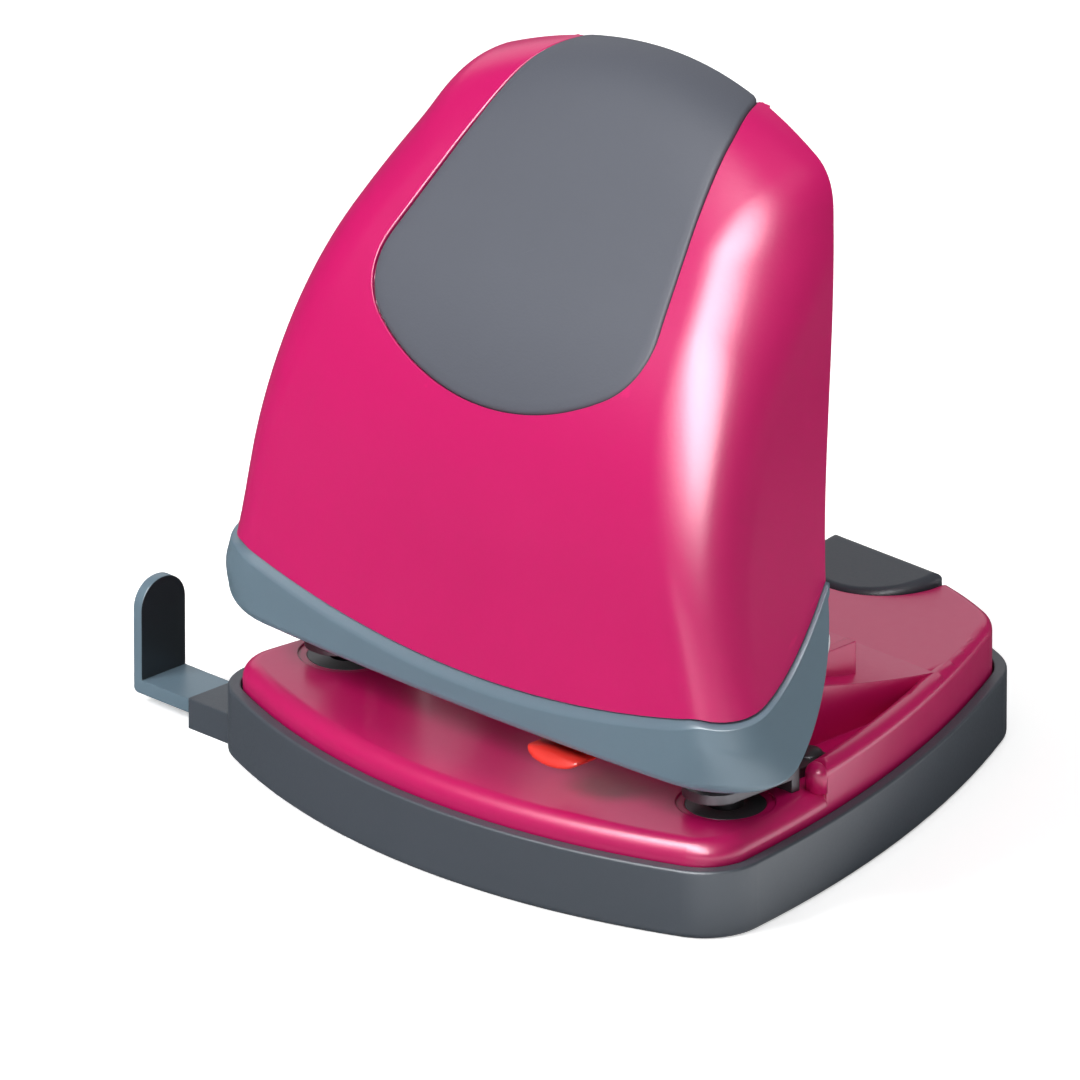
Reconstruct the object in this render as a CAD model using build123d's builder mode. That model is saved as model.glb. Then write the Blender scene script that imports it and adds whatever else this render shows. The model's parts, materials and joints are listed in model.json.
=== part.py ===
from build123d import *
import math
import os

# Two-hole desk punch, in millimetres.
# The origin is on the table, midway between the two dies. +X is the user's right, -Y is the
# front where the paper goes in, +Z is up.

# Plan shape of the tray, mirrored about X = 0
TRAY_FRONT_Y = -27.0
TRAY_CORNER = (54.0, -14.0)
TRAY_SIDE = (47.0, 26.5)
TRAY_REAR_CORNER = (28.0, 73.5)
TRAY_REAR_Y = 80.0
FRONT_CORNER_R = 10.0
REAR_CORNER_R = 13.0

# Chip tray
TRAY_HEIGHT = 10.9
TRAY_WALL = 1.9
TRAY_FLOOR = 1.6
LEDGE_Z = 5.95
LEDGE_WIDTH = 1.7
TRAY_EDGE_R = 0.8
TONGUE_Y = 74.0
TONGUE_R = 11.3
TONGUE_REAR_Y = 75.6
TONGUE_FRONT_Z = 19.0
TONGUE_REAR_Z = 20.5
TONGUE_EDGE_R = 1.2
BOSS_X = -60.6
BOSS_LENGTH = 10.8
BOSS_TOP = 4.9
BOSS_WALL = 1.1

# Paper guide
GUIDE_Y = -7.5
GUIDE_WIDTH = 9.2
GUIDE_Z = 1.75
GUIDE_BAR = 2.2
GUIDE_STOP_X = -73.7
GUIDE_STOP = 1.7
GUIDE_END_X = 28.0
GUIDE_TOP = 19.6
GUIDE_SLOT = 0.2
GUIDE_TOP_R = 4.4
RAIL_X = -46.0
RAIL_LENGTH = 76.0
RAIL_HEIGHT = 2.6

# Base plate, pressed sheet
SHEET = 1.4
PLATE_INSET = 2.25
PLATE_BOTTOM = 6.0
DECK_Z = 14.6
REAR_DECK_Z = 18.7
RIM_WIDTH = 3.8
RIM_R = 2.6
REAR_RIM_R = 1.8
BACK_STOP_Y = 13.5
RAMP_HALF_WIDTH = 34.5
RAMP_FRONT_Y = 12.0
RAMP_FRONT = (18.0, 26.2)
RAMP_MIDDLE = (33.0, 22.0)
RAMP_REAR = (50.0, 18.7)
NOTCH_R = 12.0
WINDOW_Y = (18.0, 37.0)

# Dies and the pressed rings round them
HOLE_SPACING = 80.0
PUNCH_R = 2.75
RUNNING_FIT = 0.05
DIE_R = 6.1
DIE_FLANGE = 1.4
DIE_SLEEVE_R = 4.5
DIE_BOTTOM = 10.0
RING_R = 7.5
RING_DEPTH = 0.3

# Handle pivot
PIVOT_Y = 27.0
PIVOT_Z = 28.5
PIVOT_R = 2.5
EYE_R = 4.8
LUG_X = 28.6
LUG_SHEET = 1.8
LUG_REAR_Y = 37.4
LUG_REAR_Z = 26.4
LUG_BOTTOM_Z = 18.0
CLIP_R = 4.0
CLIP_SHEET = 0.8
CLIP_GAP = 0.1
CLIP_MOUTH = 1.6
GROOVE_DEPTH = 0.6
PIN_OVERHANG = 0.9

# Punch brackets
BRACKET_WIDTH = 9.6
BRACKET_SHEET = 1.6
BRACKET_FRONT_Y = -7.0
BRACKET_WEB_Y = 9.2
BRACKET_FOOT_Y = 21.0
LOWER_ARM_Z = 16.7
UPPER_ARM_Z = 36.0
RIVET_R = 1.5
RIVET_HEAD_R = 2.2
RIVET_HEAD = 1.0
RIVET_X = 38.6
RIVET_YS = (14.0, 19.0)
FOOT_WIDTH = 6.4
BRACKET_NOSE_R = 4.4

# Punch pins, clips and springs
PIN_TIP_Z = 16.7
PIN_HEAD_Z = 43.8
PIN_TOP_Z = 46.0
PIN_HEAD_R = 4.0
PIN_DOME_R = 12.0
TIP_NOTCH = 0.8
SEAT_Z = 34.5
SEAT_THICKNESS = 1.2
SEAT_R = 5.2
SPRING_R = 3.95
SPRING_WIRE = 0.9
WIRE_SIDES = 8
SPRING_TURNS = 6
SPRING_GAP = 0.03
GAP_STEPS = 8

# Handle form: side profile (Y, Z) on the centre line and front outline (X, Z)
CROWN_R = 700.0
CROWN_HALF_ANGLE = 6.0
HOOD_BOTTOM_Z = 22.0
HOOD_FRONT_Y = -16.6
BEND_Z = 72.0
BEND_R = 45.0
SLOPE_DEG = 48.6
PROFILE_TOP_Z = 125.0
REAR_TOP = (32.0, 118.0)
REAR_MIDDLE = (15.6, 80.0)
REAR_LOW = (8.0, 48.0)
HEEL_MIDDLE = (-0.5, 29.8)
HEEL_END_Y = -16.0
SIDE_BOTTOM_X = 58.8
SIDE_MIDDLE = (46.8, 66.0)
SHOULDER = (37.5, 106.3)
CREST_Z = 115.2
SHOULDER_R = 15.0
HOOD_EDGE_R = 10.0
FRONT_EDGE_REACH = 4.5
HOOD_WALL = 2.4
OPEN_REAR_Y = 70.0
OPEN_BOTTOM_Z = 5.0

# Skirt trim and grip panel
SKIRT_PROUD = 0.8
SKIRT_LIP = 1.0
SKIRT_LIP_RISE = 3.0
SKIRT_MIDDLE_Z = 28.3
SKIRT_CORNER = (62.0, 38.4)
SKIRT_SIDE_START = (-16.0, 31.5)
SKIRT_SIDE_MIDDLE = (-1.0, 41.3)
SKIRT_SIDE_END = (14.0, 54.5)
SEAM = 0.2
GRIP_DEPTH = 1.2
GRIP_BOTTOM_Z = 70.6
GRIP_SAG_R = 46.0
GRIP_HALF_WIDTH = 30.0
GRIP_NARROW = (18.6, 122.0)
GRIP_CORNER_R = 10.0

# Lever inside the hood
CHEEK_X = 26.4
CHEEK_SHEET = 1.8
LEVER_SHEET = 2.0
PUSHER_Z = 46.2
PUSHER_HALF_LENGTH = 45.0
PUSHER_Y = (-8.0, 9.0)
PUSHER_FLANGE = 7.0
CHEEK_FRONT = (-3.0, 51.0)
CHEEK_BACK = (6.0, 51.0)
CHEEK_R = 4.8
SCREW_X = 15.0
SCREW_Y = 1.5
SCREW_R = 1.5
SCREW_HEAD_R = 3.0
SCREW_HEAD = 1.8
SCREW_LENGTH = 12.0
POST_R = 3.6
RIB_THICKNESS = 1.6
RIB_RISE = 8.0

# Lock slider and its housing inside the skirt
LOCK_X = 21.8
LOCK_Y = -15.4
LOCK_R = 5.5
LOCK_Z = 20.5
LOCK_THICKNESS = 1.25
LOCK_LENGTH = 11.0
LOCK_PLATE = 5.8
LOCK_EDGE_R = 0.5
LOCK_TRAVEL = 6.0
LOCK_CLEARANCE = 0.3
TEE_Y = -11.6
TEE_NECK = 1.6
TEE_HEAD = 3.4
TEE_HEAD_Z = 25.0
TEE_HEAD_HEIGHT = 1.6
HOUSING_Y = (-15.0, -8.6)
HOUSING_TOP_Z = 28.6
HOUSING_WALL = 1.6


def mirrored(point):
    """The same (x, z) or (x, y) point on the other side of the middle."""
    return (-point[0], point[1])


def plan_outline(inset):
    """Plan shape of the tray's outer wall, drawn in by inset."""
    with BuildSketch() as plan:
        with BuildLine():
            ThreePointArc(mirrored(TRAY_CORNER), (0, TRAY_FRONT_Y), TRAY_CORNER)
            ThreePointArc(TRAY_CORNER, TRAY_SIDE, TRAY_REAR_CORNER)
            ThreePointArc(TRAY_REAR_CORNER, (0, TRAY_REAR_Y), mirrored(TRAY_REAR_CORNER))
            ThreePointArc(mirrored(TRAY_REAR_CORNER), mirrored(TRAY_SIDE), mirrored(TRAY_CORNER))
        make_face()
        if inset:
            offset(amount=-inset, kind=Kind.INTERSECTION)
        fillet(plan.vertices().sort_by(Axis.Y)[:2], FRONT_CORNER_R - inset)
        fillet(plan.vertices().sort_by(Axis.Y)[-2:], REAR_CORNER_R - inset)
    return plan.sketch


def front_profile(inset):
    """Side view of the hood's front and slope on its centre line, run on past the back and bottom."""
    slope = math.radians(SLOPE_DEG)
    front_y = HOOD_FRONT_Y + inset
    bend_z = BEND_Z - inset * math.tan(math.pi / 4 - slope / 2)
    top_y = front_y + (PROFILE_TOP_Z - bend_z) / math.tan(slope)
    with BuildSketch() as profile:
        Polygon(
            (front_y, OPEN_BOTTOM_Z),
            (front_y, bend_z),
            (top_y, PROFILE_TOP_Z),
            (OPEN_REAR_Y, PROFILE_TOP_Z),
            (OPEN_REAR_Y, OPEN_BOTTOM_Z),
            align=None,
        )
        fillet(profile.vertices().sort_by_distance((front_y, bend_z))[0], BEND_R - inset)
    return profile.sketch


def back_profile():
    """Side view of all that lies in front of the hood's open back and above its bottom."""
    with BuildSketch() as profile:
        with BuildLine():
            ThreePointArc(REAR_TOP, REAR_MIDDLE, REAR_LOW)
            ThreePointArc(REAR_LOW, HEEL_MIDDLE, (HEEL_END_Y, HOOD_BOTTOM_Z))
            Polyline(
                (HEEL_END_Y, HOOD_BOTTOM_Z),
                (-OPEN_REAR_Y, HOOD_BOTTOM_Z),
                (-OPEN_REAR_Y, PROFILE_TOP_Z),
                (REAR_TOP[0], PROFILE_TOP_Z),
                REAR_TOP,
            )
        make_face()
    return profile.sketch


def front_outline(inset):
    """Front view of the hood."""
    with BuildSketch() as outline:
        with BuildLine():
            foot = (SIDE_BOTTOM_X, OPEN_BOTTOM_Z)
            Polyline(mirrored(foot), foot, (SIDE_BOTTOM_X, HOOD_BOTTOM_Z))
            ThreePointArc((SIDE_BOTTOM_X, HOOD_BOTTOM_Z), SIDE_MIDDLE, SHOULDER)
            ThreePointArc(SHOULDER, (0, CREST_Z), mirrored(SHOULDER))
            ThreePointArc(mirrored(SHOULDER), mirrored(SIDE_MIDDLE), (-SIDE_BOTTOM_X, HOOD_BOTTOM_Z))
            Line((-SIDE_BOTTOM_X, HOOD_BOTTOM_Z), mirrored(foot))
        make_face()
        if inset:
            offset(amount=-inset, kind=Kind.INTERSECTION)
        fillet(outline.vertices().sort_by(Axis.Y)[-2:], SHOULDER_R - inset)
    return outline.sketch


def crowned(profile):
    """Solid of a side view swung about the upright axis of the hood's crown."""
    axis_y = HOOD_FRONT_Y + CROWN_R
    start = math.radians(-CROWN_HALF_ANGLE)
    start_plane = Plane(
        origin=(0, axis_y, 0),
        x_dir=(-math.sin(start), math.cos(start), 0),
        z_dir=(math.cos(start), math.sin(start), 0),
    )
    with BuildPart() as solid:
        with BuildSketch(start_plane):
            add(profile.moved(Location((-axis_y, 0, 0))))
        revolve(axis=Axis((0, axis_y, 0), (0, 0, 1)), revolution_arc=2 * CROWN_HALF_ANGLE)
    return solid.part


def hood_form(inset, opened=False):
    """Solid of the hood's outer form drawn in by inset; an opened one has no back or bottom edge."""
    with BuildPart() as form:
        add(crowned(front_profile(inset)))
        with BuildSketch(Plane.XZ.offset(-2 * OPEN_REAR_Y)):
            add(front_outline(inset))
        extrude(amount=3 * OPEN_REAR_Y, mode=Mode.INTERSECT)
        front_edges = form.edges().filter_by(lambda edge: is_front_edge(edge, inset))
        fillet(front_edges, HOOD_EDGE_R - inset)
        if not opened:
            add(crowned(back_profile()), mode=Mode.INTERSECT)
    return form.part


def is_front_edge(edge, inset):
    """True for an edge where the hood's front or slope meets its sides or crest."""
    middle = edge @ 0.5
    slope = math.tan(math.radians(SLOPE_DEG))
    reach = abs(middle.X) ** 2 / (2 * CROWN_R)
    front_y = HOOD_FRONT_Y + inset + reach
    slope_y = front_y + max(0, (middle.Z - BEND_Z) / slope)
    on_outline = abs(middle.X) > SHOULDER[0] / 2 or middle.Z > SHOULDER[1]
    in_front = middle.Y < slope_y + FRONT_EDGE_REACH
    return edge.geom_type == GeomType.BSPLINE and on_outline and in_front


def skirt_zone(rise):
    """Everything below the line where the skirt meets the hood, raised by rise."""
    corner = (SKIRT_CORNER[0], SKIRT_CORNER[1] + rise)
    with BuildPart() as zone:
        with BuildSketch(Plane.XZ.offset(-OPEN_REAR_Y)):
            with BuildLine():
                ThreePointArc(mirrored(corner), (0, SKIRT_MIDDLE_Z + rise), corner)
                Polyline(corner, (corner[0], 0), (-corner[0], 0), mirrored(corner))
            make_face()
        extrude(amount=2 * OPEN_REAR_Y)
        start, middle, end = [
            (y, z + rise) for y, z in (SKIRT_SIDE_START, SKIRT_SIDE_MIDDLE, SKIRT_SIDE_END)
        ]
        with BuildSketch(Plane.YZ):
            with BuildLine():
                ThreePointArc(start, middle, end)
                Polyline(end, (end[0], 0), (start[0], 0), start)
            make_face()
        extrude(amount=SKIRT_CORNER[0], both=True)
    return zone.part


def grip_prism(inset):
    """Front view of the grip panel, run through the whole handle."""
    sag = GRIP_SAG_R - math.sqrt(GRIP_SAG_R**2 - GRIP_HALF_WIDTH**2)
    low = (GRIP_HALF_WIDTH, GRIP_BOTTOM_Z + sag)
    with BuildPart() as prism:
        with BuildSketch(Plane.XZ.offset(-OPEN_REAR_Y)) as outline:
            with BuildLine():
                ThreePointArc(mirrored(low), (0, GRIP_BOTTOM_Z), low)
                Polyline(low, GRIP_NARROW, mirrored(GRIP_NARROW), mirrored(low))
            make_face()
            if inset:
                offset(amount=-inset, kind=Kind.INTERSECTION)
            fillet(outline.vertices().sort_by(Axis.Y)[:2], GRIP_CORNER_R - inset)
        extrude(amount=2 * OPEN_REAR_Y)
    return prism.part


def plate_form(depth):
    """Pressed form of the base plate, drawn in by depth below its outer skin."""
    bottom = PLATE_BOTTOM - depth
    stop_y = BACK_STOP_Y + depth
    half_width = RAMP_HALF_WIDTH - depth
    with BuildPart() as form:
        with BuildSketch(Plane.XY.offset(bottom)):
            add(plan_outline(PLATE_INSET + depth))
        extrude(amount=REAR_DECK_Z - depth - bottom)
        with BuildSketch(Plane.XY.offset(DECK_Z - depth)):
            with Locations((0, stop_y)):
                Rectangle(3 * TRAY_CORNER[0], TRAY_REAR_Y, align=(Align.CENTER, Align.MAX))
        extrude(amount=REAR_DECK_Z, mode=Mode.SUBTRACT)
        with BuildSketch(Plane.XY.offset(DECK_Z - depth)):
            add(plan_outline(PLATE_INSET + RIM_WIDTH - depth))
            Rectangle(2 * half_width, 4 * TRAY_REAR_Y, mode=Mode.SUBTRACT)
        extrude(amount=REAR_DECK_Z, mode=Mode.SUBTRACT)
        if not depth:
            rear_rim = form.edges().filter_by_position(Axis.Z, REAR_DECK_Z - 0.1, REAR_DECK_Z + 0.1)
            fillet(rear_rim, REAR_RIM_R)
            deck_rim = form.edges().filter_by_position(Axis.Z, DECK_Z - 0.1, DECK_Z + 0.1)
            fillet(deck_rim.filter_by(lambda edge: (edge @ 0.5).Y < stop_y - 1), RIM_R)
        start, middle, end = [(y, z - depth) for y, z in (RAMP_FRONT, RAMP_MIDDLE, RAMP_REAR)]
        front_y = RAMP_FRONT_Y + depth
        with BuildSketch(Plane.YZ):
            with BuildLine():
                ThreePointArc(start, middle, end)
                Polyline(end, (end[0], bottom), (front_y, bottom), (front_y, start[1]), start)
            make_face()
        extrude(amount=half_width, both=True)
    return form.part


def pin_profile_dome(radius):
    """How far the punch pin's domed head falls away at a radius."""
    return PIN_DOME_R - math.sqrt(PIN_DOME_R**2 - radius**2)


def helix_point(angle, pitch):
    """Point of the spring's centre line and its direction there, the angle in radians."""
    point = Vector(
        SPRING_R * math.cos(angle),
        SPRING_R * math.sin(angle),
        pitch * angle / (2 * math.pi),
    )
    direction = Vector(
        -SPRING_R * math.sin(angle),
        SPRING_R * math.cos(angle),
        pitch / (2 * math.pi),
    )
    return point, direction.normalized()


def coil_arcs(pitch, turns):
    """Arcs of a coil, a pair of tangent arcs to each half turn, as (start, direction, end)."""
    arcs = []
    for half in range(2 * turns):
        start, leaving = helix_point(half * math.pi, pitch)
        end, arriving = helix_point((half + 1) * math.pi, pitch)
        chord = end - start
        both = leaving + arriving
        square = 2 * (leaving.dot(arriving) - 1)
        linear = -2 * chord.dot(both)
        reach = (-linear - math.sqrt(linear**2 - 4 * square * chord.dot(chord))) / (2 * square)
        first = start + leaving * reach
        second = end - arriving * reach
        joint = (first + second) * 0.5
        arcs.append((start, leaving, joint))
        arcs.append((joint, (second - first).normalized(), end))
    return arcs


def coil_gap(edges):
    """Least gap between the wire and itself, on points more than half a turn apart."""
    points = [edge @ (step / GAP_STEPS) for edge in edges for step in range(GAP_STEPS)]
    apart = 3 * GAP_STEPS
    nearest = min(
        (points[i] - points[j]).length
        for i in range(len(points))
        for j in range(i + apart, len(points))
    )
    return nearest - SPRING_WIRE


def upright_plane(x, y):
    """Plane seen from the front whose local y axis is the vertical through (x, y)."""
    return Plane(origin=(x, y, 0), x_dir=(1, 0, 0), z_dir=(0, -1, 0))


def fastener_clip(plane, shaft_r, outer_r, thickness):
    """Snap ring with an open mouth, lying on a plane round its shaft."""
    with BuildPart() as clip:
        with BuildSketch(plane):
            Circle(outer_r)
            Circle(shaft_r, mode=Mode.SUBTRACT)
            Rectangle(
                CLIP_MOUTH * shaft_r,
                outer_r,
                align=(Align.CENTER, Align.MIN),
                mode=Mode.SUBTRACT,
            )
        extrude(amount=thickness)
    return clip.part


os.makedirs("parts", exist_ok=True)

# Chip tray, with its release tongue and the boss for the paper guide
slot_half = GUIDE_WIDTH / 2 + GUIDE_SLOT
slot_top = GUIDE_Z + GUIDE_BAR + GUIDE_SLOT
boss_half = slot_half + BOSS_WALL

with BuildPart() as chip_tray:
    with BuildSketch():
        add(plan_outline(0))
    extrude(amount=TRAY_HEIGHT)
    fillet(chip_tray.faces().sort_by(Axis.Z)[0].edges(), TRAY_EDGE_R)
    fillet(chip_tray.faces().sort_by(Axis.Z)[-1].edges(), TRAY_EDGE_R / 2)
    with BuildSketch():
        with Locations((BOSS_X, GUIDE_Y)):
            Rectangle(BOSS_LENGTH, 2 * boss_half, align=(Align.MIN, Align.CENTER))
    extrude(amount=BOSS_TOP)
    with BuildSketch(Plane.XY.offset(LEDGE_Z)):
        add(plan_outline(TRAY_WALL))
    extrude(amount=TRAY_HEIGHT, mode=Mode.SUBTRACT)
    with BuildSketch(Plane.XY.offset(TRAY_FLOOR)):
        add(plan_outline(TRAY_WALL + LEDGE_WIDTH))
    extrude(amount=TRAY_HEIGHT, mode=Mode.SUBTRACT)
    # Slot for the guide bar through the boss and the side wall
    with BuildSketch(Plane.XY.offset(TRAY_FLOOR)):
        with Locations((RAIL_X, GUIDE_Y)):
            Rectangle(RAIL_LENGTH, 2 * slot_half, align=(Align.MAX, Align.CENTER))
    extrude(amount=slot_top - TRAY_FLOOR, mode=Mode.SUBTRACT)
    # Rails that keep the guide bar straight
    with BuildSketch(Plane.XY.offset(TRAY_FLOOR)):
        with Locations((RAIL_X, GUIDE_Y)):
            Rectangle(RAIL_LENGTH, 2 * boss_half, align=(Align.MIN, Align.CENTER))
            Rectangle(
                RAIL_LENGTH,
                2 * slot_half,
                align=(Align.MIN, Align.CENTER),
                mode=Mode.SUBTRACT,
            )
    extrude(amount=RAIL_HEIGHT)
    # Root of the tongue, closed to the rear wall
    with BuildSketch(Plane.XY.offset(TRAY_FLOOR)):
        with Locations((0, TONGUE_Y)):
            Rectangle(2 * TONGUE_R, TRAY_REAR_Y - TONGUE_Y, align=(Align.CENTER, Align.MIN))
        add(plan_outline(TRAY_WALL / 2), mode=Mode.INTERSECT)
    extrude(amount=LEDGE_Z)

with BuildPart() as tongue:
    with BuildSketch():
        with Locations((0, TONGUE_Y)):
            Circle(TONGUE_R)
        with Locations((0, TONGUE_REAR_Y)):
            Rectangle(3 * TONGUE_R, TONGUE_R, align=(Align.CENTER, Align.MIN), mode=Mode.SUBTRACT)
    extrude(amount=2 * TONGUE_REAR_Z)
    with BuildSketch(Plane.YZ):
        front_y = TONGUE_Y - TONGUE_R
        Polygon(
            (front_y, 0),
            (TONGUE_REAR_Y, 0),
            (TONGUE_REAR_Y, TONGUE_REAR_Z),
            (front_y, TONGUE_FRONT_Z),
            align=None,
        )
    extrude(amount=2 * TONGUE_R, both=True, mode=Mode.INTERSECT)
    fillet(tongue.faces().sort_by(Axis.Z)[-1].edges(), TONGUE_EDGE_R)

with BuildPart() as tongue_hollow:
    with BuildSketch():
        with Locations((0, TONGUE_Y)):
            Circle(TONGUE_R - TRAY_WALL)
        with Locations((0, TONGUE_REAR_Y - TRAY_WALL)):
            Rectangle(3 * TONGUE_R, TONGUE_R, align=(Align.CENTER, Align.MIN), mode=Mode.SUBTRACT)
    extrude(amount=TONGUE_FRONT_Z - TRAY_WALL)

with chip_tray:
    add(tongue.part)
    add(tongue_hollow.part, mode=Mode.SUBTRACT)

chip_tray.part.label = "chip_tray"
export_step(chip_tray.part, "parts/chip_tray.step")

# Paper guide: flat bar with an upright stop
with BuildPart() as paper_guide:
    stop_inner_x = GUIDE_STOP_X + GUIDE_STOP
    bar_top = GUIDE_Z + GUIDE_BAR
    with BuildSketch(Plane.XZ.offset(-GUIDE_Y)):
        Polygon(
            (GUIDE_STOP_X, GUIDE_Z),
            (GUIDE_END_X, GUIDE_Z),
            (GUIDE_END_X, bar_top),
            (stop_inner_x, bar_top),
            (stop_inner_x, GUIDE_TOP),
            (GUIDE_STOP_X, GUIDE_TOP),
            align=None,
        )
    extrude(amount=GUIDE_WIDTH / 2, both=True)
    fillet(paper_guide.edges().filter_by(Axis.X).group_by(Axis.Z)[-1], GUIDE_TOP_R)
    corners = paper_guide.edges().filter_by(Axis.Y)
    fillet(corners.sort_by_distance((GUIDE_STOP_X, GUIDE_Y, GUIDE_Z))[0], GUIDE_STOP / 2)
paper_guide.part.label = "paper_guide"
export_step(paper_guide.part, "parts/paper_guide.step")

# Base plate: pressed sheet with a window for the lever and the lugs bent up beside it
punch_places = [(side * HOLE_SPACING / 2, 0) for side in (-1, 1)]
rivet_places = [(side * RIVET_X, y) for side in (-1, 1) for y in RIVET_YS]

with BuildPart() as base_plate:
    add(plate_form(0))
    add(plate_form(SHEET), mode=Mode.SUBTRACT)
    with BuildSketch():
        with Locations((0, TONGUE_Y)):
            Circle(NOTCH_R)
            Rectangle(2 * NOTCH_R, NOTCH_R, align=(Align.CENTER, Align.MIN))
    extrude(amount=2 * REAR_DECK_Z, mode=Mode.SUBTRACT)
    with BuildSketch(Plane.XY.offset(DECK_Z)):
        with Locations((0, sum(WINDOW_Y) / 2)):
            Rectangle(2 * LUG_X, WINDOW_Y[1] - WINDOW_Y[0])
    extrude(amount=REAR_DECK_Z, mode=Mode.SUBTRACT)
    for side in (-1, 1):
        with BuildSketch(Plane.YZ.offset(side * (LUG_X + LUG_SHEET / 2))):
            with Locations((PIVOT_Y, PIVOT_Z)):
                Circle(EYE_R)
            Polygon(
                (PIVOT_Y - EYE_R, PIVOT_Z),
                (PIVOT_Y - EYE_R, LUG_BOTTOM_Z),
                (LUG_REAR_Y, LUG_BOTTOM_Z),
                (LUG_REAR_Y, LUG_REAR_Z),
                (PIVOT_Y, LUG_REAR_Z),
                align=None,
            )
            with Locations((PIVOT_Y, PIVOT_Z)):
                Circle(PIVOT_R + RUNNING_FIT, mode=Mode.SUBTRACT)
        extrude(amount=LUG_SHEET / 2, both=True)
    with Locations(*[(x, y, DECK_Z) for x, y in punch_places]):
        CounterBoreHole(DIE_R + RUNNING_FIT, RING_R, RING_DEPTH, depth=3 * SHEET)
    with Locations(*[(x, y, DECK_Z) for x, y in rivet_places]):
        Hole(RIVET_R + RUNNING_FIT, depth=3 * SHEET)
base_plate.part.label = "base_plate"
export_step(base_plate.part, "parts/base_plate.step")

# Dies, each with a flange under the paper table
die_profile = (
    (PUNCH_R + RUNNING_FIT, DIE_BOTTOM),
    (DIE_SLEEVE_R, DIE_BOTTOM),
    (DIE_SLEEVE_R, DECK_Z - SHEET - DIE_FLANGE),
    (RING_R, DECK_Z - SHEET - DIE_FLANGE),
    (RING_R, DECK_Z - SHEET),
    (DIE_R, DECK_Z - SHEET),
    (DIE_R, DECK_Z - RING_DEPTH),
    (PUNCH_R + RUNNING_FIT, DECK_Z - RING_DEPTH),
)

# Punch pin profile: shank, groove for the clip, domed head
groove_r = PUNCH_R - GROOVE_DEPTH

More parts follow.
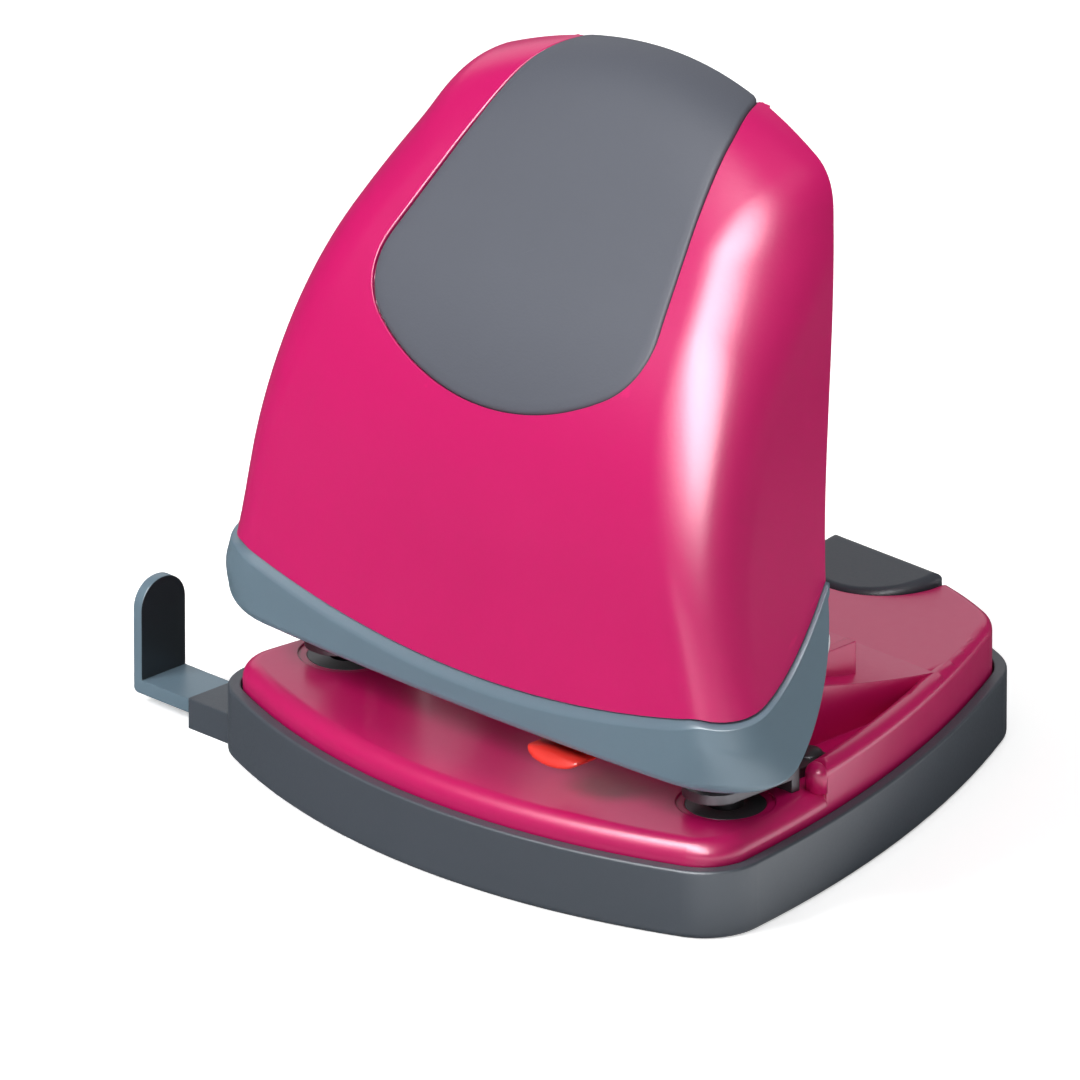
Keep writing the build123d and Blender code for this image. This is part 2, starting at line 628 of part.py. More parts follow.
for name, (punch_x, punch_y) in zip(("left", "right"), punch_places):
    side = math.copysign(1, punch_x)
    station = upright_plane(punch_x, punch_y)

    with BuildPart() as die:
        with BuildSketch(station):
            Polygon(*die_profile, align=None)
        revolve(axis=Axis((punch_x, punch_y, 0), (0, 0, 1)))
    die.part.label = f"die_{name}"
    export_step(die.part, f"parts/die_{name}.step")

    # Bracket: foot in the base plate's side pocket, web, and two arms that guide the pin
    with BuildPart() as bracket:
        arm_length = BRACKET_WEB_Y + BRACKET_SHEET - BRACKET_FRONT_Y
        with BuildSketch(Plane.YZ.offset(punch_x)):
            for arm_z in (LOWER_ARM_Z, UPPER_ARM_Z):
                with Locations((BRACKET_FRONT_Y, arm_z)):
                    Rectangle(arm_length, BRACKET_SHEET, align=Align.MIN)
            with Locations((BRACKET_WEB_Y, DECK_Z)):
                web_height = UPPER_ARM_Z + BRACKET_SHEET - DECK_Z
                Rectangle(BRACKET_SHEET, web_height, align=Align.MIN)
        extrude(amount=BRACKET_WIDTH / 2, both=True)
        front_edges = bracket.edges().filter_by(Axis.Z).group_by(Axis.Y)[0]
        fillet(front_edges, BRACKET_NOSE_R)
        top_edges = bracket.edges().filter_by(Axis.X).group_by(Axis.Z)[-1].sort_by(Axis.Y)[-1]
        fillet(top_edges, BRACKET_SHEET)
        with BuildSketch(Plane.XY.offset(DECK_Z)):
            with Locations((side * RIVET_X, BRACKET_WEB_Y)):
                foot_length = BRACKET_FOOT_Y - BRACKET_WEB_Y
                Rectangle(FOOT_WIDTH, foot_length, align=(Align.CENTER, Align.MIN))
        extrude(amount=BRACKET_SHEET)
        with Locations((punch_x, punch_y, UPPER_ARM_Z + BRACKET_SHEET)):
            Hole(PUNCH_R + RUNNING_FIT)
        with Locations(*[(side * RIVET_X, y, DECK_Z + BRACKET_SHEET) for y in RIVET_YS]):
            Hole(RIVET_R + RUNNING_FIT)
    bracket.part.label = f"punch_bracket_{name}"
    export_step(bracket.part, f"parts/punch_bracket_{name}.step")

    with BuildPart() as pin:
        with BuildSketch(station):
            with BuildLine():
                rim_z = PIN_TOP_Z - pin_profile_dome(PIN_HEAD_R)
                Polyline(
                    (0, PIN_TOP_Z),
                    (0, PIN_TIP_Z),
                    (PUNCH_R, PIN_TIP_Z),
                    (PUNCH_R, SEAT_Z),
                    (groove_r, SEAT_Z),
                    (groove_r, SEAT_Z + SEAT_THICKNESS),
                    (PUNCH_R, SEAT_Z + SEAT_THICKNESS),
                    (PUNCH_R, PIN_HEAD_Z),
                    (PIN_HEAD_R, PIN_HEAD_Z),
                    (PIN_HEAD_R, rim_z),
                )
                middle_r = PIN_HEAD_R / 2
                dome_middle = (middle_r, PIN_TOP_Z - pin_profile_dome(middle_r))
                ThreePointArc((PIN_HEAD_R, rim_z), dome_middle, (0, PIN_TOP_Z))
            make_face()
        revolve(axis=Axis((punch_x, punch_y, 0), (0, 0, 1)))
        # Notch across the tip, so that it cuts from its two points
        with BuildSketch(station):
            notch_half = PUNCH_R + RUNNING_FIT
            Polygon(
                (-notch_half, PIN_TIP_Z - RUNNING_FIT),
                (notch_half, PIN_TIP_Z - RUNNING_FIT),
                (0, PIN_TIP_Z + TIP_NOTCH),
                align=None,
            )
        extrude(amount=2 * PUNCH_R, both=True, mode=Mode.SUBTRACT)
    pin.part.label = f"punch_pin_{name}"
    export_step(pin.part, f"parts/punch_pin_{name}.step")

    seat_plane = Plane((punch_x, punch_y, SEAT_Z))
    pin_clip = fastener_clip(seat_plane, groove_r + RUNNING_FIT, SEAT_R, SEAT_THICKNESS)
    pin_clip.label = f"pin_clip_{name}"
    export_step(pin_clip, f"parts/pin_clip_{name}.step")

    # Return spring between the lower arm and the clip
    spring_bottom = LOWER_ARM_Z + BRACKET_SHEET + SPRING_GAP
    spring_height = SEAT_Z - SPRING_GAP - spring_bottom
    pitch = (spring_height - SPRING_WIRE) / SPRING_TURNS
    foot = Vector(punch_x, punch_y, spring_bottom + SPRING_WIRE / 2)
    with BuildPart() as spring:
        with BuildLine() as coil:
            for start, direction, end in coil_arcs(pitch, SPRING_TURNS):
                TangentArc(start + foot, end + foot, tangent=direction)
        with BuildSketch(Plane(origin=coil.line @ 0, z_dir=coil.line % 0)):
            RegularPolygon(SPRING_WIRE / 2, WIRE_SIDES)
        sweep()
    print(f"return_spring_{name}: least gap {coil_gap(coil.edges()):.2f} mm")
    spring.part.label = f"return_spring_{name}"
    export_step(spring.part, f"parts/return_spring_{name}.step")

# Rivets through the bracket feet
with BuildPart() as bracket_rivets:
    for x, y in rivet_places:
        with BuildSketch(upright_plane(x, y)):
            Polygon(
                (0, DECK_Z - SHEET - RIVET_HEAD),
                (RIVET_HEAD_R, DECK_Z - SHEET - RIVET_HEAD),
                (RIVET_HEAD_R, DECK_Z - SHEET),
                (RIVET_R, DECK_Z - SHEET),
                (RIVET_R, DECK_Z + BRACKET_SHEET),
                (RIVET_HEAD_R, DECK_Z + BRACKET_SHEET),
                (RIVET_R, DECK_Z + BRACKET_SHEET + RIVET_HEAD),
                (0, DECK_Z + BRACKET_SHEET + RIVET_HEAD),
                align=None,
            )
        revolve(axis=Axis((x, y, 0), (0, 0, 1)))
bracket_rivets.part.label = "bracket_rivets"
export_step(bracket_rivets.part, "parts/bracket_rivets.step")

# Pivot pin, with a groove for a clip outside each lug
clip_x = LUG_X + LUG_SHEET + CLIP_GAP
pin_end_x = clip_x + CLIP_SHEET + PIN_OVERHANG
clip_groove_r = PIVOT_R - GROOVE_DEPTH

with BuildPart() as pivot_pin:
    with BuildSketch(Plane.YZ.offset(-pin_end_x)):
        with Locations((PIVOT_Y, PIVOT_Z)):
            Circle(PIVOT_R)
    extrude(amount=2 * pin_end_x)
    for groove_x in (clip_x, -clip_x - CLIP_SHEET):
        with BuildSketch(Plane.YZ.offset(groove_x)):
            with Locations((PIVOT_Y, PIVOT_Z)):
                Circle(EYE_R)
                Circle(clip_groove_r, mode=Mode.SUBTRACT)
        extrude(amount=CLIP_SHEET, mode=Mode.SUBTRACT)
    end_faces = pivot_pin.faces().filter_by(Axis.X).sort_by(Axis.X)
    chamfer([end_faces[0].edges()[0], end_faces[-1].edges()[0]], GROOVE_DEPTH)
pivot_pin.part.label = "pivot_pin"
export_step(pivot_pin.part, "parts/pivot_pin.step")

with BuildPart() as pivot_clips:
    for plane_x in (clip_x, -clip_x - CLIP_SHEET):
        clip_plane = Plane(origin=(plane_x, PIVOT_Y, PIVOT_Z), x_dir=(0, 1, 0), z_dir=(1, 0, 0))
        add(fastener_clip(clip_plane, clip_groove_r + RUNNING_FIT, CLIP_R, CLIP_SHEET))
pivot_clips.part.label = "pivot_clips"
export_step(pivot_clips.part, "parts/pivot_clips.step")

# Handle hood, its grip panel and its skirt share one crowned form
hood_outer = hood_form(0)
lip_outer = HOOD_WALL + RUNNING_FIT
lip_inner = lip_outer + SKIRT_LIP
post_bottom = PUSHER_Z + LEVER_SHEET

with BuildPart() as handle_posts:
    for side in (-1, 1):
        with BuildSketch(Plane.XY.offset(post_bottom)):
            with Locations((side * SCREW_X, SCREW_Y)):
                Circle(POST_R)
        extrude(amount=CREST_Z)
        with BuildSketch(Plane.XY.offset(post_bottom + RIB_RISE)):
            with Locations((side * SCREW_X, SCREW_Y)):
                Rectangle(RIB_THICKNESS, CREST_Z, align=(Align.CENTER, Align.MAX))
        extrude(amount=CREST_Z)
    add(hood_form(HOOD_WALL / 2, opened=True), mode=Mode.INTERSECT)
    with Locations(*[(side * SCREW_X, SCREW_Y, post_bottom) for side in (-1, 1)]):
        Cylinder(
            SCREW_R + RUNNING_FIT,
            SCREW_LENGTH,
            align=(Align.CENTER, Align.CENTER, Align.MIN),
            mode=Mode.SUBTRACT,
        )

with BuildPart() as grip_recess:
    add(hood_outer)
    add(hood_form(GRIP_DEPTH + RUNNING_FIT, opened=True), mode=Mode.SUBTRACT)
    add(grip_prism(0), mode=Mode.INTERSECT)

with BuildPart() as handle_shell:
    add(hood_outer)
    add(hood_form(HOOD_WALL, opened=True), mode=Mode.SUBTRACT)
    add(skirt_zone(SEAM), mode=Mode.SUBTRACT)
    add(handle_posts.part)
    add(grip_recess.part, mode=Mode.SUBTRACT)
handle_shell.part.label = "handle_shell"
export_step(handle_shell.part, "parts/handle_shell.step")

with BuildPart() as handle_grip:
    add(hood_outer)
    add(hood_form(GRIP_DEPTH, opened=True), mode=Mode.SUBTRACT)
    add(grip_prism(SEAM), mode=Mode.INTERSECT)
handle_grip.part.label = "handle_grip"
export_step(handle_grip.part, "parts/handle_grip.step")

# Lock slider, a thumb tab on a T-shaped runner
lock_top_z = LOCK_Z + LOCK_THICKNESS

with BuildPart() as lock_slider:
    with BuildSketch(Plane.XY.offset(LOCK_Z)):
        with Locations((LOCK_X, LOCK_Y)):
            Circle(LOCK_R)
            Rectangle(2 * LOCK_R, LOCK_PLATE, align=(Align.CENTER, Align.MIN))
    extrude(amount=LOCK_THICKNESS)
    fillet(lock_slider.faces().sort_by(Axis.Z)[0].edges(), LOCK_EDGE_R)
    with BuildSketch(Plane.YZ.offset(LOCK_X)):
        with Locations((TEE_Y, lock_top_z)):
            Rectangle(TEE_NECK, TEE_HEAD_Z - lock_top_z, align=(Align.CENTER, Align.MIN))
        with Locations((TEE_Y, TEE_HEAD_Z)):
            Rectangle(TEE_HEAD, TEE_HEAD_HEIGHT, align=(Align.CENTER, Align.MIN))
    extrude(amount=LOCK_LENGTH / 2, both=True)
lock_slider.part.label = "lock_slider"
export_step(lock_slider.part, "parts/lock_slider.step")

# Skirt with a lip that plugs into the hood and the housing of the lock slider
track_start_x = LOCK_X - LOCK_LENGTH / 2 - LOCK_CLEARANCE
track_length = LOCK_LENGTH + LOCK_TRAVEL + 2 * LOCK_CLEARANCE

with BuildPart() as skirt_lip:
    add(hood_form(lip_outer, opened=True))
    add(hood_form(lip_inner, opened=True), mode=Mode.SUBTRACT)
    add(skirt_zone(SKIRT_LIP_RISE), mode=Mode.INTERSECT)
    add(hood_outer, mode=Mode.INTERSECT)

with BuildPart() as lock_track:
    with BuildSketch(Plane.YZ.offset(track_start_x)):
        with Locations((TEE_Y, HOOD_BOTTOM_Z)):
            slot_width = TEE_NECK + 2 * LOCK_CLEARANCE
            Rectangle(slot_width, 2 * (TEE_HEAD_Z - HOOD_BOTTOM_Z))
        with Locations((TEE_Y, TEE_HEAD_Z - LOCK_CLEARANCE)):
            head_width = TEE_HEAD + 2 * LOCK_CLEARANCE
            head_height = TEE_HEAD_HEIGHT + 2 * LOCK_CLEARANCE
            Rectangle(head_width, head_height, align=(Align.CENTER, Align.MIN))
    extrude(amount=track_length)

with BuildPart() as handle_skirt:
    add(hood_form(-SKIRT_PROUD))
    add(hood_form(lip_inner, opened=True), mode=Mode.SUBTRACT)
    add(skirt_zone(0), mode=Mode.INTERSECT)
    add(skirt_lip.part)
    with BuildSketch(Plane.XY.offset(HOOD_BOTTOM_Z)):
        with Locations((track_start_x - HOUSING_WALL, HOUSING_Y[0])):
            Rectangle(track_length + 2 * HOUSING_WALL, HOUSING_Y[1] - HOUSING_Y[0], align=Align.MIN)
    extrude(amount=HOUSING_TOP_Z - HOOD_BOTTOM_Z)
    add(lock_track.part, mode=Mode.SUBTRACT)
handle_skirt.part.label = "handle_skirt"
export_step(handle_skirt.part, "parts/handle_skirt.step")

# Lever inside the hood: pusher plate over the pins and a cheek to each pivot lug
with BuildPart() as handle_lever:
    pusher_depth = PUSHER_Y[1] - PUSHER_Y[0]
    with BuildSketch(Plane.XY.offset(PUSHER_Z)):
        with Locations((0, sum(PUSHER_Y) / 2)):
            RectangleRounded(2 * PUSHER_HALF_LENGTH, pusher_depth, CHEEK_R)
        with Locations(*[(side * SCREW_X, SCREW_Y) for side in (-1, 1)]):
            Circle(SCREW_R + RUNNING_FIT, mode=Mode.SUBTRACT)
    extrude(amount=LEVER_SHEET)
    with BuildSketch(Plane.XY.offset(PUSHER_Z)):
        with Locations((0, PUSHER_Y[0])):
            flange_length = 2 * (PUSHER_HALF_LENGTH - 2 * CHEEK_R)
            Rectangle(flange_length, LEVER_SHEET, align=(Align.CENTER, Align.MIN))
    extrude(amount=PUSHER_FLANGE)
    for side in (-1, 1):
        with BuildSketch(Plane.YZ.offset(side * (CHEEK_X + CHEEK_SHEET / 2))):
            with Locations((PIVOT_Y, PIVOT_Z)):
                Circle(EYE_R)
            with Locations(CHEEK_FRONT, CHEEK_BACK):
                Circle(CHEEK_R)
            make_hull()
            with Locations((PIVOT_Y, PIVOT_Z)):
                Circle(PIVOT_R + RUNNING_FIT, mode=Mode.SUBTRACT)
        extrude(amount=CHEEK_SHEET / 2, both=True)
handle_lever.part.label = "handle_lever"
export_step(handle_lever.part, "parts/handle_lever.step")

# Screws that hold the lever to the hood's posts
with BuildPart() as handle_screws:
    for side in (-1, 1):
        with BuildSketch(upright_plane(side * SCREW_X, SCREW_Y)):
            Polygon(
                (0, PUSHER_Z - SCREW_HEAD),
                (SCREW_HEAD_R - SCREW_HEAD / 3, PUSHER_Z - SCREW_HEAD),
                (SCREW_HEAD_R, PUSHER_Z - SCREW_HEAD / 2),
                (SCREW_HEAD_R, PUSHER_Z),
                (SCREW_R, PUSHER_Z),
                (SCREW_R, post_bottom + SCREW_LENGTH - SCREW_R),
                (0, post_bottom + SCREW_LENGTH),
                align=None,
            )
        revolve(axis=Axis((side * SCREW_X, SCREW_Y, 0), (0, 0, 1)))
handle_screws.part.label = "handle_screws"
export_step(handle_screws.part, "parts/handle_screws.step")
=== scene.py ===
"""Looks of a two-hole desk punch, dressed round its solids."""

import json
import math

import bmesh
import bpy
import numpy as np
from bpy.props import FloatProperty, FloatVectorProperty, IntProperty, PointerProperty
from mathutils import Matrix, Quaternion, Vector


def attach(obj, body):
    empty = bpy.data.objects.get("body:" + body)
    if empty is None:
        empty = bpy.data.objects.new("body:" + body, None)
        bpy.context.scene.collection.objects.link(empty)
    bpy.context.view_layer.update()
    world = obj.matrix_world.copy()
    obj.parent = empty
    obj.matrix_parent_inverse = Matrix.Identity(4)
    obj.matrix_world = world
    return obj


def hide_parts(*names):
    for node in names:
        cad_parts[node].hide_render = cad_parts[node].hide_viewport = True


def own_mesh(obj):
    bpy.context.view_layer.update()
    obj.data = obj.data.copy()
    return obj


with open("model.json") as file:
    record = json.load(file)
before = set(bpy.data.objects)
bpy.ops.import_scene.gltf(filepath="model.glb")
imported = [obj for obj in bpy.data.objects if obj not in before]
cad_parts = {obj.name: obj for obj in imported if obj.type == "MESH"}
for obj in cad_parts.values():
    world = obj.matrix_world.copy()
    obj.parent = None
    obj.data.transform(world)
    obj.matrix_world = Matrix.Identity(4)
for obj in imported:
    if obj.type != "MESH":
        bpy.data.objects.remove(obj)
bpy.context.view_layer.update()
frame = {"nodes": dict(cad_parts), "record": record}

bl_info = {
    "name": "Desk Punch Looks",
    "version": (1, 0, 0),
    "blender": (4, 5, 0),
    "location": "View3D > Sidebar > Punch",
    "description": "Dresses the solids of a desk hole punch and sets its studio",
    "category": "Object",
}

MM = 0.001
NODES = frame["nodes"]
BEHAVIOUR = frame["record"]["behaviour"]
BODY_OF = {node: body for body, nodes in BEHAVIOUR["bodies"].items() for node in nodes}
PUNCH_SLIDE = next(joint for joint in BEHAVIOUR["joints"] if joint["name"] == "punch_left_slide")

# Finishes: scale of their clouding, where an edge gets painted highlight, by its bend or its pointedness,
# and how far to the right a face of the paper guide turns to get painted shade, with the share of its colour
# left there
CLOUD_SCALE = 28.0
EDGE_HIGHLIGHT_BEND = (0.98, 0.7)
EDGE_HIGHLIGHT_POINT = (0.53, 0.62)
SHADED_FACING = (0.8, 0.95)
SHADED_SHARE = 0.12

# Handle, in millimetres: the hood, its grip panel and its skirt lie on one rounded body
FRONT_Y = -16.6  # front in the middle plane
CROWN_R = 700.0  # bow of the front, seen from above
BEND_Z = 72.0  # where the front and the slope above it would meet
BEND_R = 45.0  # roundness of that bend
SLOPE = math.radians(48.6)  # angle of the slope with the table
FACE_TURN = (52.0, 88.0)  # heights between which the front turns into the slope
HALF_WIDTHS = ((22, 59.0), (45, 51.4), (75, 46.5), (105, 37.0))  # height and half width
CREST_Z = 114.9  # crest in the middle plane
CREST_FALL = 0.0064  # fall of the crest per square of the distance from that plane
CREST_TURN = (96.9, 116.9)  # heights between which the sides turn into the crest
SIDE_UP = 0.25  # how much the sides below that count as facing up
SHOULDER_R = 13.0  # roundness between the sides and the crest
CORNER_R = 9.0  # least roundness between the front and the sides
CORNER_GAINS = ((31.0, 21.0, 6.5), (42.0, 84.0, 5.0))  # growth of that from one height to another
REAR_LINE = ((48, 8.3), (80, 15.0), (100, 22.4), (118, 32.4))  # height and y of the rear edge
HEEL = (-20.5, 50.5, 28.6)  # y, z and radius of the rear edge's arc below that
BOTTOM_Z = 22.0  # lower edge

# Seam of the hood and the skirt
SEAM_FRONT = (28.3, 0.00263)  # height in the middle plane, and rise per square of the distance from it
SEAM_SIDE = ((-14.8, 34.3), (-2.2, 37.4), (10.46, 50.16))  # y and height along the sides
SEAM_CORNER = (45.5, 50.5)  # distances from the middle plane between which the two lines blend
SEAM_GAP = 0.12  # half the gap

# Shells: roundness of their edges, and the tuck of the skirt's lower edge with its height
HOOD_ROLL = 0.5
SKIRT_ROLL = 0.6
SKIRT_TUCK = 1.8
SKIRT_TUCK_RISE = 3.6
ROLL_STEPS = np.linspace(0, np.pi, 9)[1:-1]  # angles round a rolled edge

# Rays to the skin: they start between the two tips in which the seam ends
TIP = np.array((0.0, *SEAM_SIDE[-1]))
RAY_LENGTH = 200.0
HALVINGS = 36
MERIDIAN = np.radians(np.linspace(-30, 128, 900))  # rises in the middle plane
RISE_STEPS = 700  # rises tried when an edge is looked for

# Rises, in degrees, between which the seam, the rear edge and the lower edge are looked for
SEAM_RISES = (-130, 60)
REAR_RISES = (0, 150)
BOTTOM_RISES = (-140, -5)

# Meshes: points nearer than WELD are one, edges below SLIVER go, and SKIN_BAND tells what lies on the skin
WELD = 0.002
SLIVER = 0.001
SKIN_BAND = 0.05
NORMAL_STEP = 0.02

# Grip panel: a low arc, two straight sides, and an end along the handle's rear edge
GRIP_BOTTOM_Z = 70.6
GRIP_SAG_R = 46.0
GRIP_LOW = (30.0, 81.7)  # half width and height at the foot of a side
GRIP_HIGH = (18.6, 122.0)  # the same at its top
GRIP_CORNER_R = 10.0
GRIP_CREST_Y = 20.5  # where the sides start to close behind the crest
GRIP_CREST_SOFT = 2.0
GRIP_TAPER = 0.6
GRIP_MARGIN = 0.2  # distance from the rear edge
GRIP_REAR_R = 1.2
GRIP_CENTRE_Z = 92.0  # height from which the outline is looked for, and how far
GRIP_REACH = 60.0
GRIP_POINTS = 300
GRIP_FILL = np.linspace(1, 0, 22)[1:]
GRIP_LIFT = 0.28  # how much prouder the panel stands at its top, and between which heights it rises
GRIP_LIFT_TURN = (95.0, 113.0)
OUTLINE_STEP = 0.05

# How far in from the grip's outline and how high over the skin each ring lies, on the grip and on the hood
GRIP_PROFILE = ((0.14, -1.3), (0.14, -0.75), (0.2, -0.5), (0.34, -0.3), (0.55, -0.17), (0.85, -0.1))
LIP_PROFILE = (
    (-2.0, -0.3), (-1.98, -0.045), (-1.6, 0.005), (-0.7, 0.02), (-0.4, 0.03), (-0.2, 0.0),
    (-0.06, -0.1), (0.02, -0.26), (0.04, -0.5), (0.04, -1.2), (-1.0, -1.2),
)
LIP_END = 0.7  # distance of the lip's ends from the rear edge
RECESS_DEPTH = 1.4
RECESS_EDGE = (0.8, 0.2)  # distances from the outline between which the hood's skin drops

# Posts and ribs inside the hood, and how deep into its wall they go
POST_X, POST_Y, POST_Z = 15.0, 1.5, 48.2
POST_R = 3.6
POST_POINTS = 40
RIB_HALF = 0.8
RIB_RISE = 8.0
RIB_POINTS = 24
ROOT_SHARE = 0.8

# Boxes round the lock's T-shaped track
LOCK_TRACK = (
    ((14.4, -14.6, 22.6), (35.2, -12.7, 24.7)),
    ((14.4, -10.5, 22.6), (35.2, -8.6, 24.7)),
    ((14.4, -14.6, 24.7), (35.2, -13.6, 28.6)),
    ((14.4, -9.6, 24.7), (35.2, -8.6, 28.6)),
    ((14.4, -13.6, 26.9), (35.2, -9.6, 28.6)),
    ((14.4, -13.6, 22.6), (16.0, -9.6, 26.9)),
    ((33.6, -13.6, 22.6), (35.2, -9.6, 26.9)),
)

# Lock slider: boxes of its plate and rail, and its half-round nub, whose profile lists inset and y
LOCK_RAIL = (
    ((16.3, -13.4, 20.5), (23.6, -9.6, 21.75)),
    ((16.3, -12.4, 21.7), (27.3, -10.8, 25.1)),
    ((16.3, -13.3, 25.0), (27.3, -9.9, 26.6)),
)
NUB_X, NUB_HALF = 20.9, 5.3
NUB_TOP, NUB_DROP = 21.75, 1.6
NUB_LEAN = 0.9
NUB_BACK = -13.0
NUB_PROFILE = ((0.7, -17.5), (0.35, -17.42), (0.1, -17.18), (0.0, -16.8), (0.0, NUB_BACK))
NUB_POINTS = 41

# Front ends of the base plate's rim
RIM_END_X, RIM_END_Y, RIM_END_R = 45.93, 13.6, 1.98
RIM_END_FOOT = 14.2
RIM_END_POINTS = 33
RIM_TOP = 18.69
RIM_EDGE_R = 1.78
RIM_EDGE_POINTS = 12

# Springs and rivets: turns that lie flat at a spring's ends, and points round a turn, a wire and a rivet
FLAT_TURNS = 0.9
TURN_POINTS = 40
WIRE_POINTS = 12
RIVET_POINTS = 32

# Stage, in metres: the floor, and where the patch that the punch's side mirrors comes in and fades
FLOOR_HALF = 3.0
PATCH_START = (0.05, 0.07)
PATCH_END = (0.2, 0.12)

# Light of the surroundings, the floor's own glow to the camera, and how bright glossy surfaces see them
AMBIENT = 0.42
FLOOR_GLOW = 0.5
WORLD_IN_GLOSS = 0.05
FLOOR_IN_GLOSS = 0.07
PATCH_IN_GLOSS = 2.8

# Each lamp's name, place, width and height, roll, power, and whether it makes highlights only
LAMPS = (
    ("key", (-0.35, -0.95, 0.95), (0.55, 0.55), 0, 12.0, False),
    ("top", (0.1, 0.25, 1.1), (0.6, 0.6), 0, 3.0, False),
    ("softbox", (0.314, -0.673, 0.792), (0.62, 1.6), 45, 46.0, True),
    ("near_fade", (0.125, -0.83, 0.68), (0.62, 1.3), 45, 9.0, True),
    ("far_fade", (-0.18, -0.85, 0.64), (0.6, 1.2), 45, 2.0, True),
    ("backdrop", (-1.0, 1.0, 0.62), (1.7, 0.9), 0, 3.2, True),
    ("card", (1.1, 0.9, 0.16), (1.6, 0.26), 0, 0.3, True),
)
LAMP_AIM = Vector((0, 0, 0.05))


# Settings

def srgb(red, green, blue):
    """Linear colour of a display colour given in 0 to 255."""
    def channel(value):
        value /= 255
        return value / 12.92 if value <= 0.04045 else ((value + 0.055) / 1.055) ** 2.4
    return (channel(red), channel(green), channel(blue))


def colour_property(name, description, red, green, blue):
    """A colour that a user may change, with its default as a display colour."""
    return FloatVectorProperty(
        name=name, description=description, default=srgb(red, green, blue), subtype="COLOR", min=0, max=1
    )


def length_property(name, description, size):
    """A length that a user may change, with its default in millimetres."""
    return FloatProperty(name=name, description=description, default=size * MM, unit="LENGTH")


class PunchColours(bpy.types.PropertyGroup):
    """Colours of the punch's finishes."""

    hood: colour_property("Hood", "Satin plastic of the hood", 209, 4, 104)
    base: colour_property("Base", "Gloss paint of the base plate", 205, 14, 100)
    grip: colour_property("Grip", "Soft grip panel", 87, 90, 100)
    trim: colour_property("Trim", "Skirt and paper guide", 104, 126, 140)
    tray: colour_property("Tray", "Chip tray", 70, 77, 86)
    lock: colour_property("Lock", "Lock slider", 240, 50, 40)
    steel: colour_property("Steel", "Plated steel of the mechanism", 178, 180, 184)
    # Steel darkened as painted shade, for the brackets, rivets and dies that lie in the shadow under the
    # handle
    bracket: colour_property("Bracket", "Dark steel of the brackets, rivets and dies", 92, 92, 96)
    wire: colour_property("Wire", "Drawn wire of the springs", 150, 150, 154)
    floor: colour_property("Floor", "Studio floor and backdrop", 240, 240, 240)


class PunchForm(bpy.types.PropertyGroup):
    """Sizes of the handle's shells."""

    wall: length_property("Wall", "Thickness of the hood's and the skirt's wall", 2.4)
    skirt_proud: length_property("Skirt proud", "How far the skirt stands out from the hood", 0.8)
    columns: IntProperty(
        name="Columns", description="Points from tip to tip of the hood and the skirt", default=201, min=41
    )
    rows: IntProperty(
        name="Rows", description="Points from the hood's seam to its rear edge", default=110, min=20
    )
    skirt_rows: IntProperty(
        name="Skirt rows", description="Points from the skirt's lower edge to its seam", default=34, min=10
    )


class PunchSpring(bpy.types.PropertyGroup):
    """Sizes of the return springs."""

    turns: FloatProperty(name="Turns", description="Turns of wire with the flat ends", default=7.6, min=3)
    radius: length_property("Radius", "Radius to the middle of the wire", 3.95)
    wire: length_property("Wire", "Thickness of the wire", 0.9)
    height: length_property("Height", "Height at rest", 16.14)
    foot: FloatProperty(
        name="Foot", description="Height of the lower end",
        default=PUNCH_SLIDE["deforming_nodes"][0]["fixed_end_z_m"], unit="LENGTH",
    )
    reach: length_property("Reach", "Distance from the middle plane", 40)
    stroke: FloatProperty(
        name="Stroke", description="How far a punch goes down",
        default=PUNCH_SLIDE["range_m"][1], unit="LENGTH",
    )


class PunchRivets(bpy.types.PropertyGroup):
    """Sizes and places of the rivets through the brackets' feet."""

    width: length_property("Width", "Distance of the left rivets from the right ones", 77.2)
    depth: length_property("Depth", "Distance of the front rivets from the rear ones", 5.0)
    place: FloatVectorProperty(
        name="Place", description="Middle of the four rivets, under their upper heads",
        default=(0, 16.5 * MM, 16.2 * MM), subtype="TRANSLATION",
    )
    head_radius: length_property("Head radius", "Radius of the heads", 2.2)
    head_height: length_property("Head height", "Height of the heads", 1.0)
    shank_radius: length_property("Shank radius", "Radius of the shanks", 1.5)
    grip: length_property("Grip", "Thickness between the heads", 3.0)


class PunchCamera(bpy.types.PropertyGroup):
    """Viewpoint of the reference picture."""

    azimuth: FloatProperty(
        name="Azimuth", description="Turn of the view to the right of the front",
        default=math.radians(45), subtype="ANGLE",
    )
    elevation: FloatProperty(
        name="Elevation", description="Height of the view above the horizon",
        default=math.radians(22.9), subtype="ANGLE",
    )
    distance: length_property("Distance", "Distance from the camera to its aim", 4500)
    frame_width: length_property("Frame width", "Width of the picture at the aim", 161.2)
    aim: FloatVectorProperty(
        name="Aim", description="Point in the middle of the picture",
        default=(0, 0.95 * MM, 44.6 * MM), subtype="TRANSLATION",
    )


# Materials

def set_inputs(node, inputs):
    """Links or sets inputs of a node."""
    for socket, value in inputs.items():
        if isinstance(value, bpy.types.NodeSocket):
            node.id_data.links.new(value, node.inputs[socket])
        else:
            node.inputs[socket].default_value = value


def node_adder(tree):
    """A helper that adds a node to a tree, sets its fields and links or sets its inputs."""
    def add(kind, inputs=None, **fields):
        node = tree.nodes.new(kind)
        for field, value in fields.items():
            setattr(node, field, value)
        set_inputs(node, inputs or {})
        return node

    return add


def reckoned(add, operation, *operands):
    """Result of a math node on numbers and sockets."""
    return add("ShaderNodeMath", dict(enumerate(operands)), operation=operation).outputs["Value"]


def mapped(add, value, given, wanted):
    """A value brought from one range into another and kept inside it."""
    return add("ShaderNodeMapRange", {
        "Value": value,
        "From Min": given[0],
        "From Max": given[1],
        "To Min": wanted[0],
        "To Max": wanted[1],
    }).outputs["Result"]


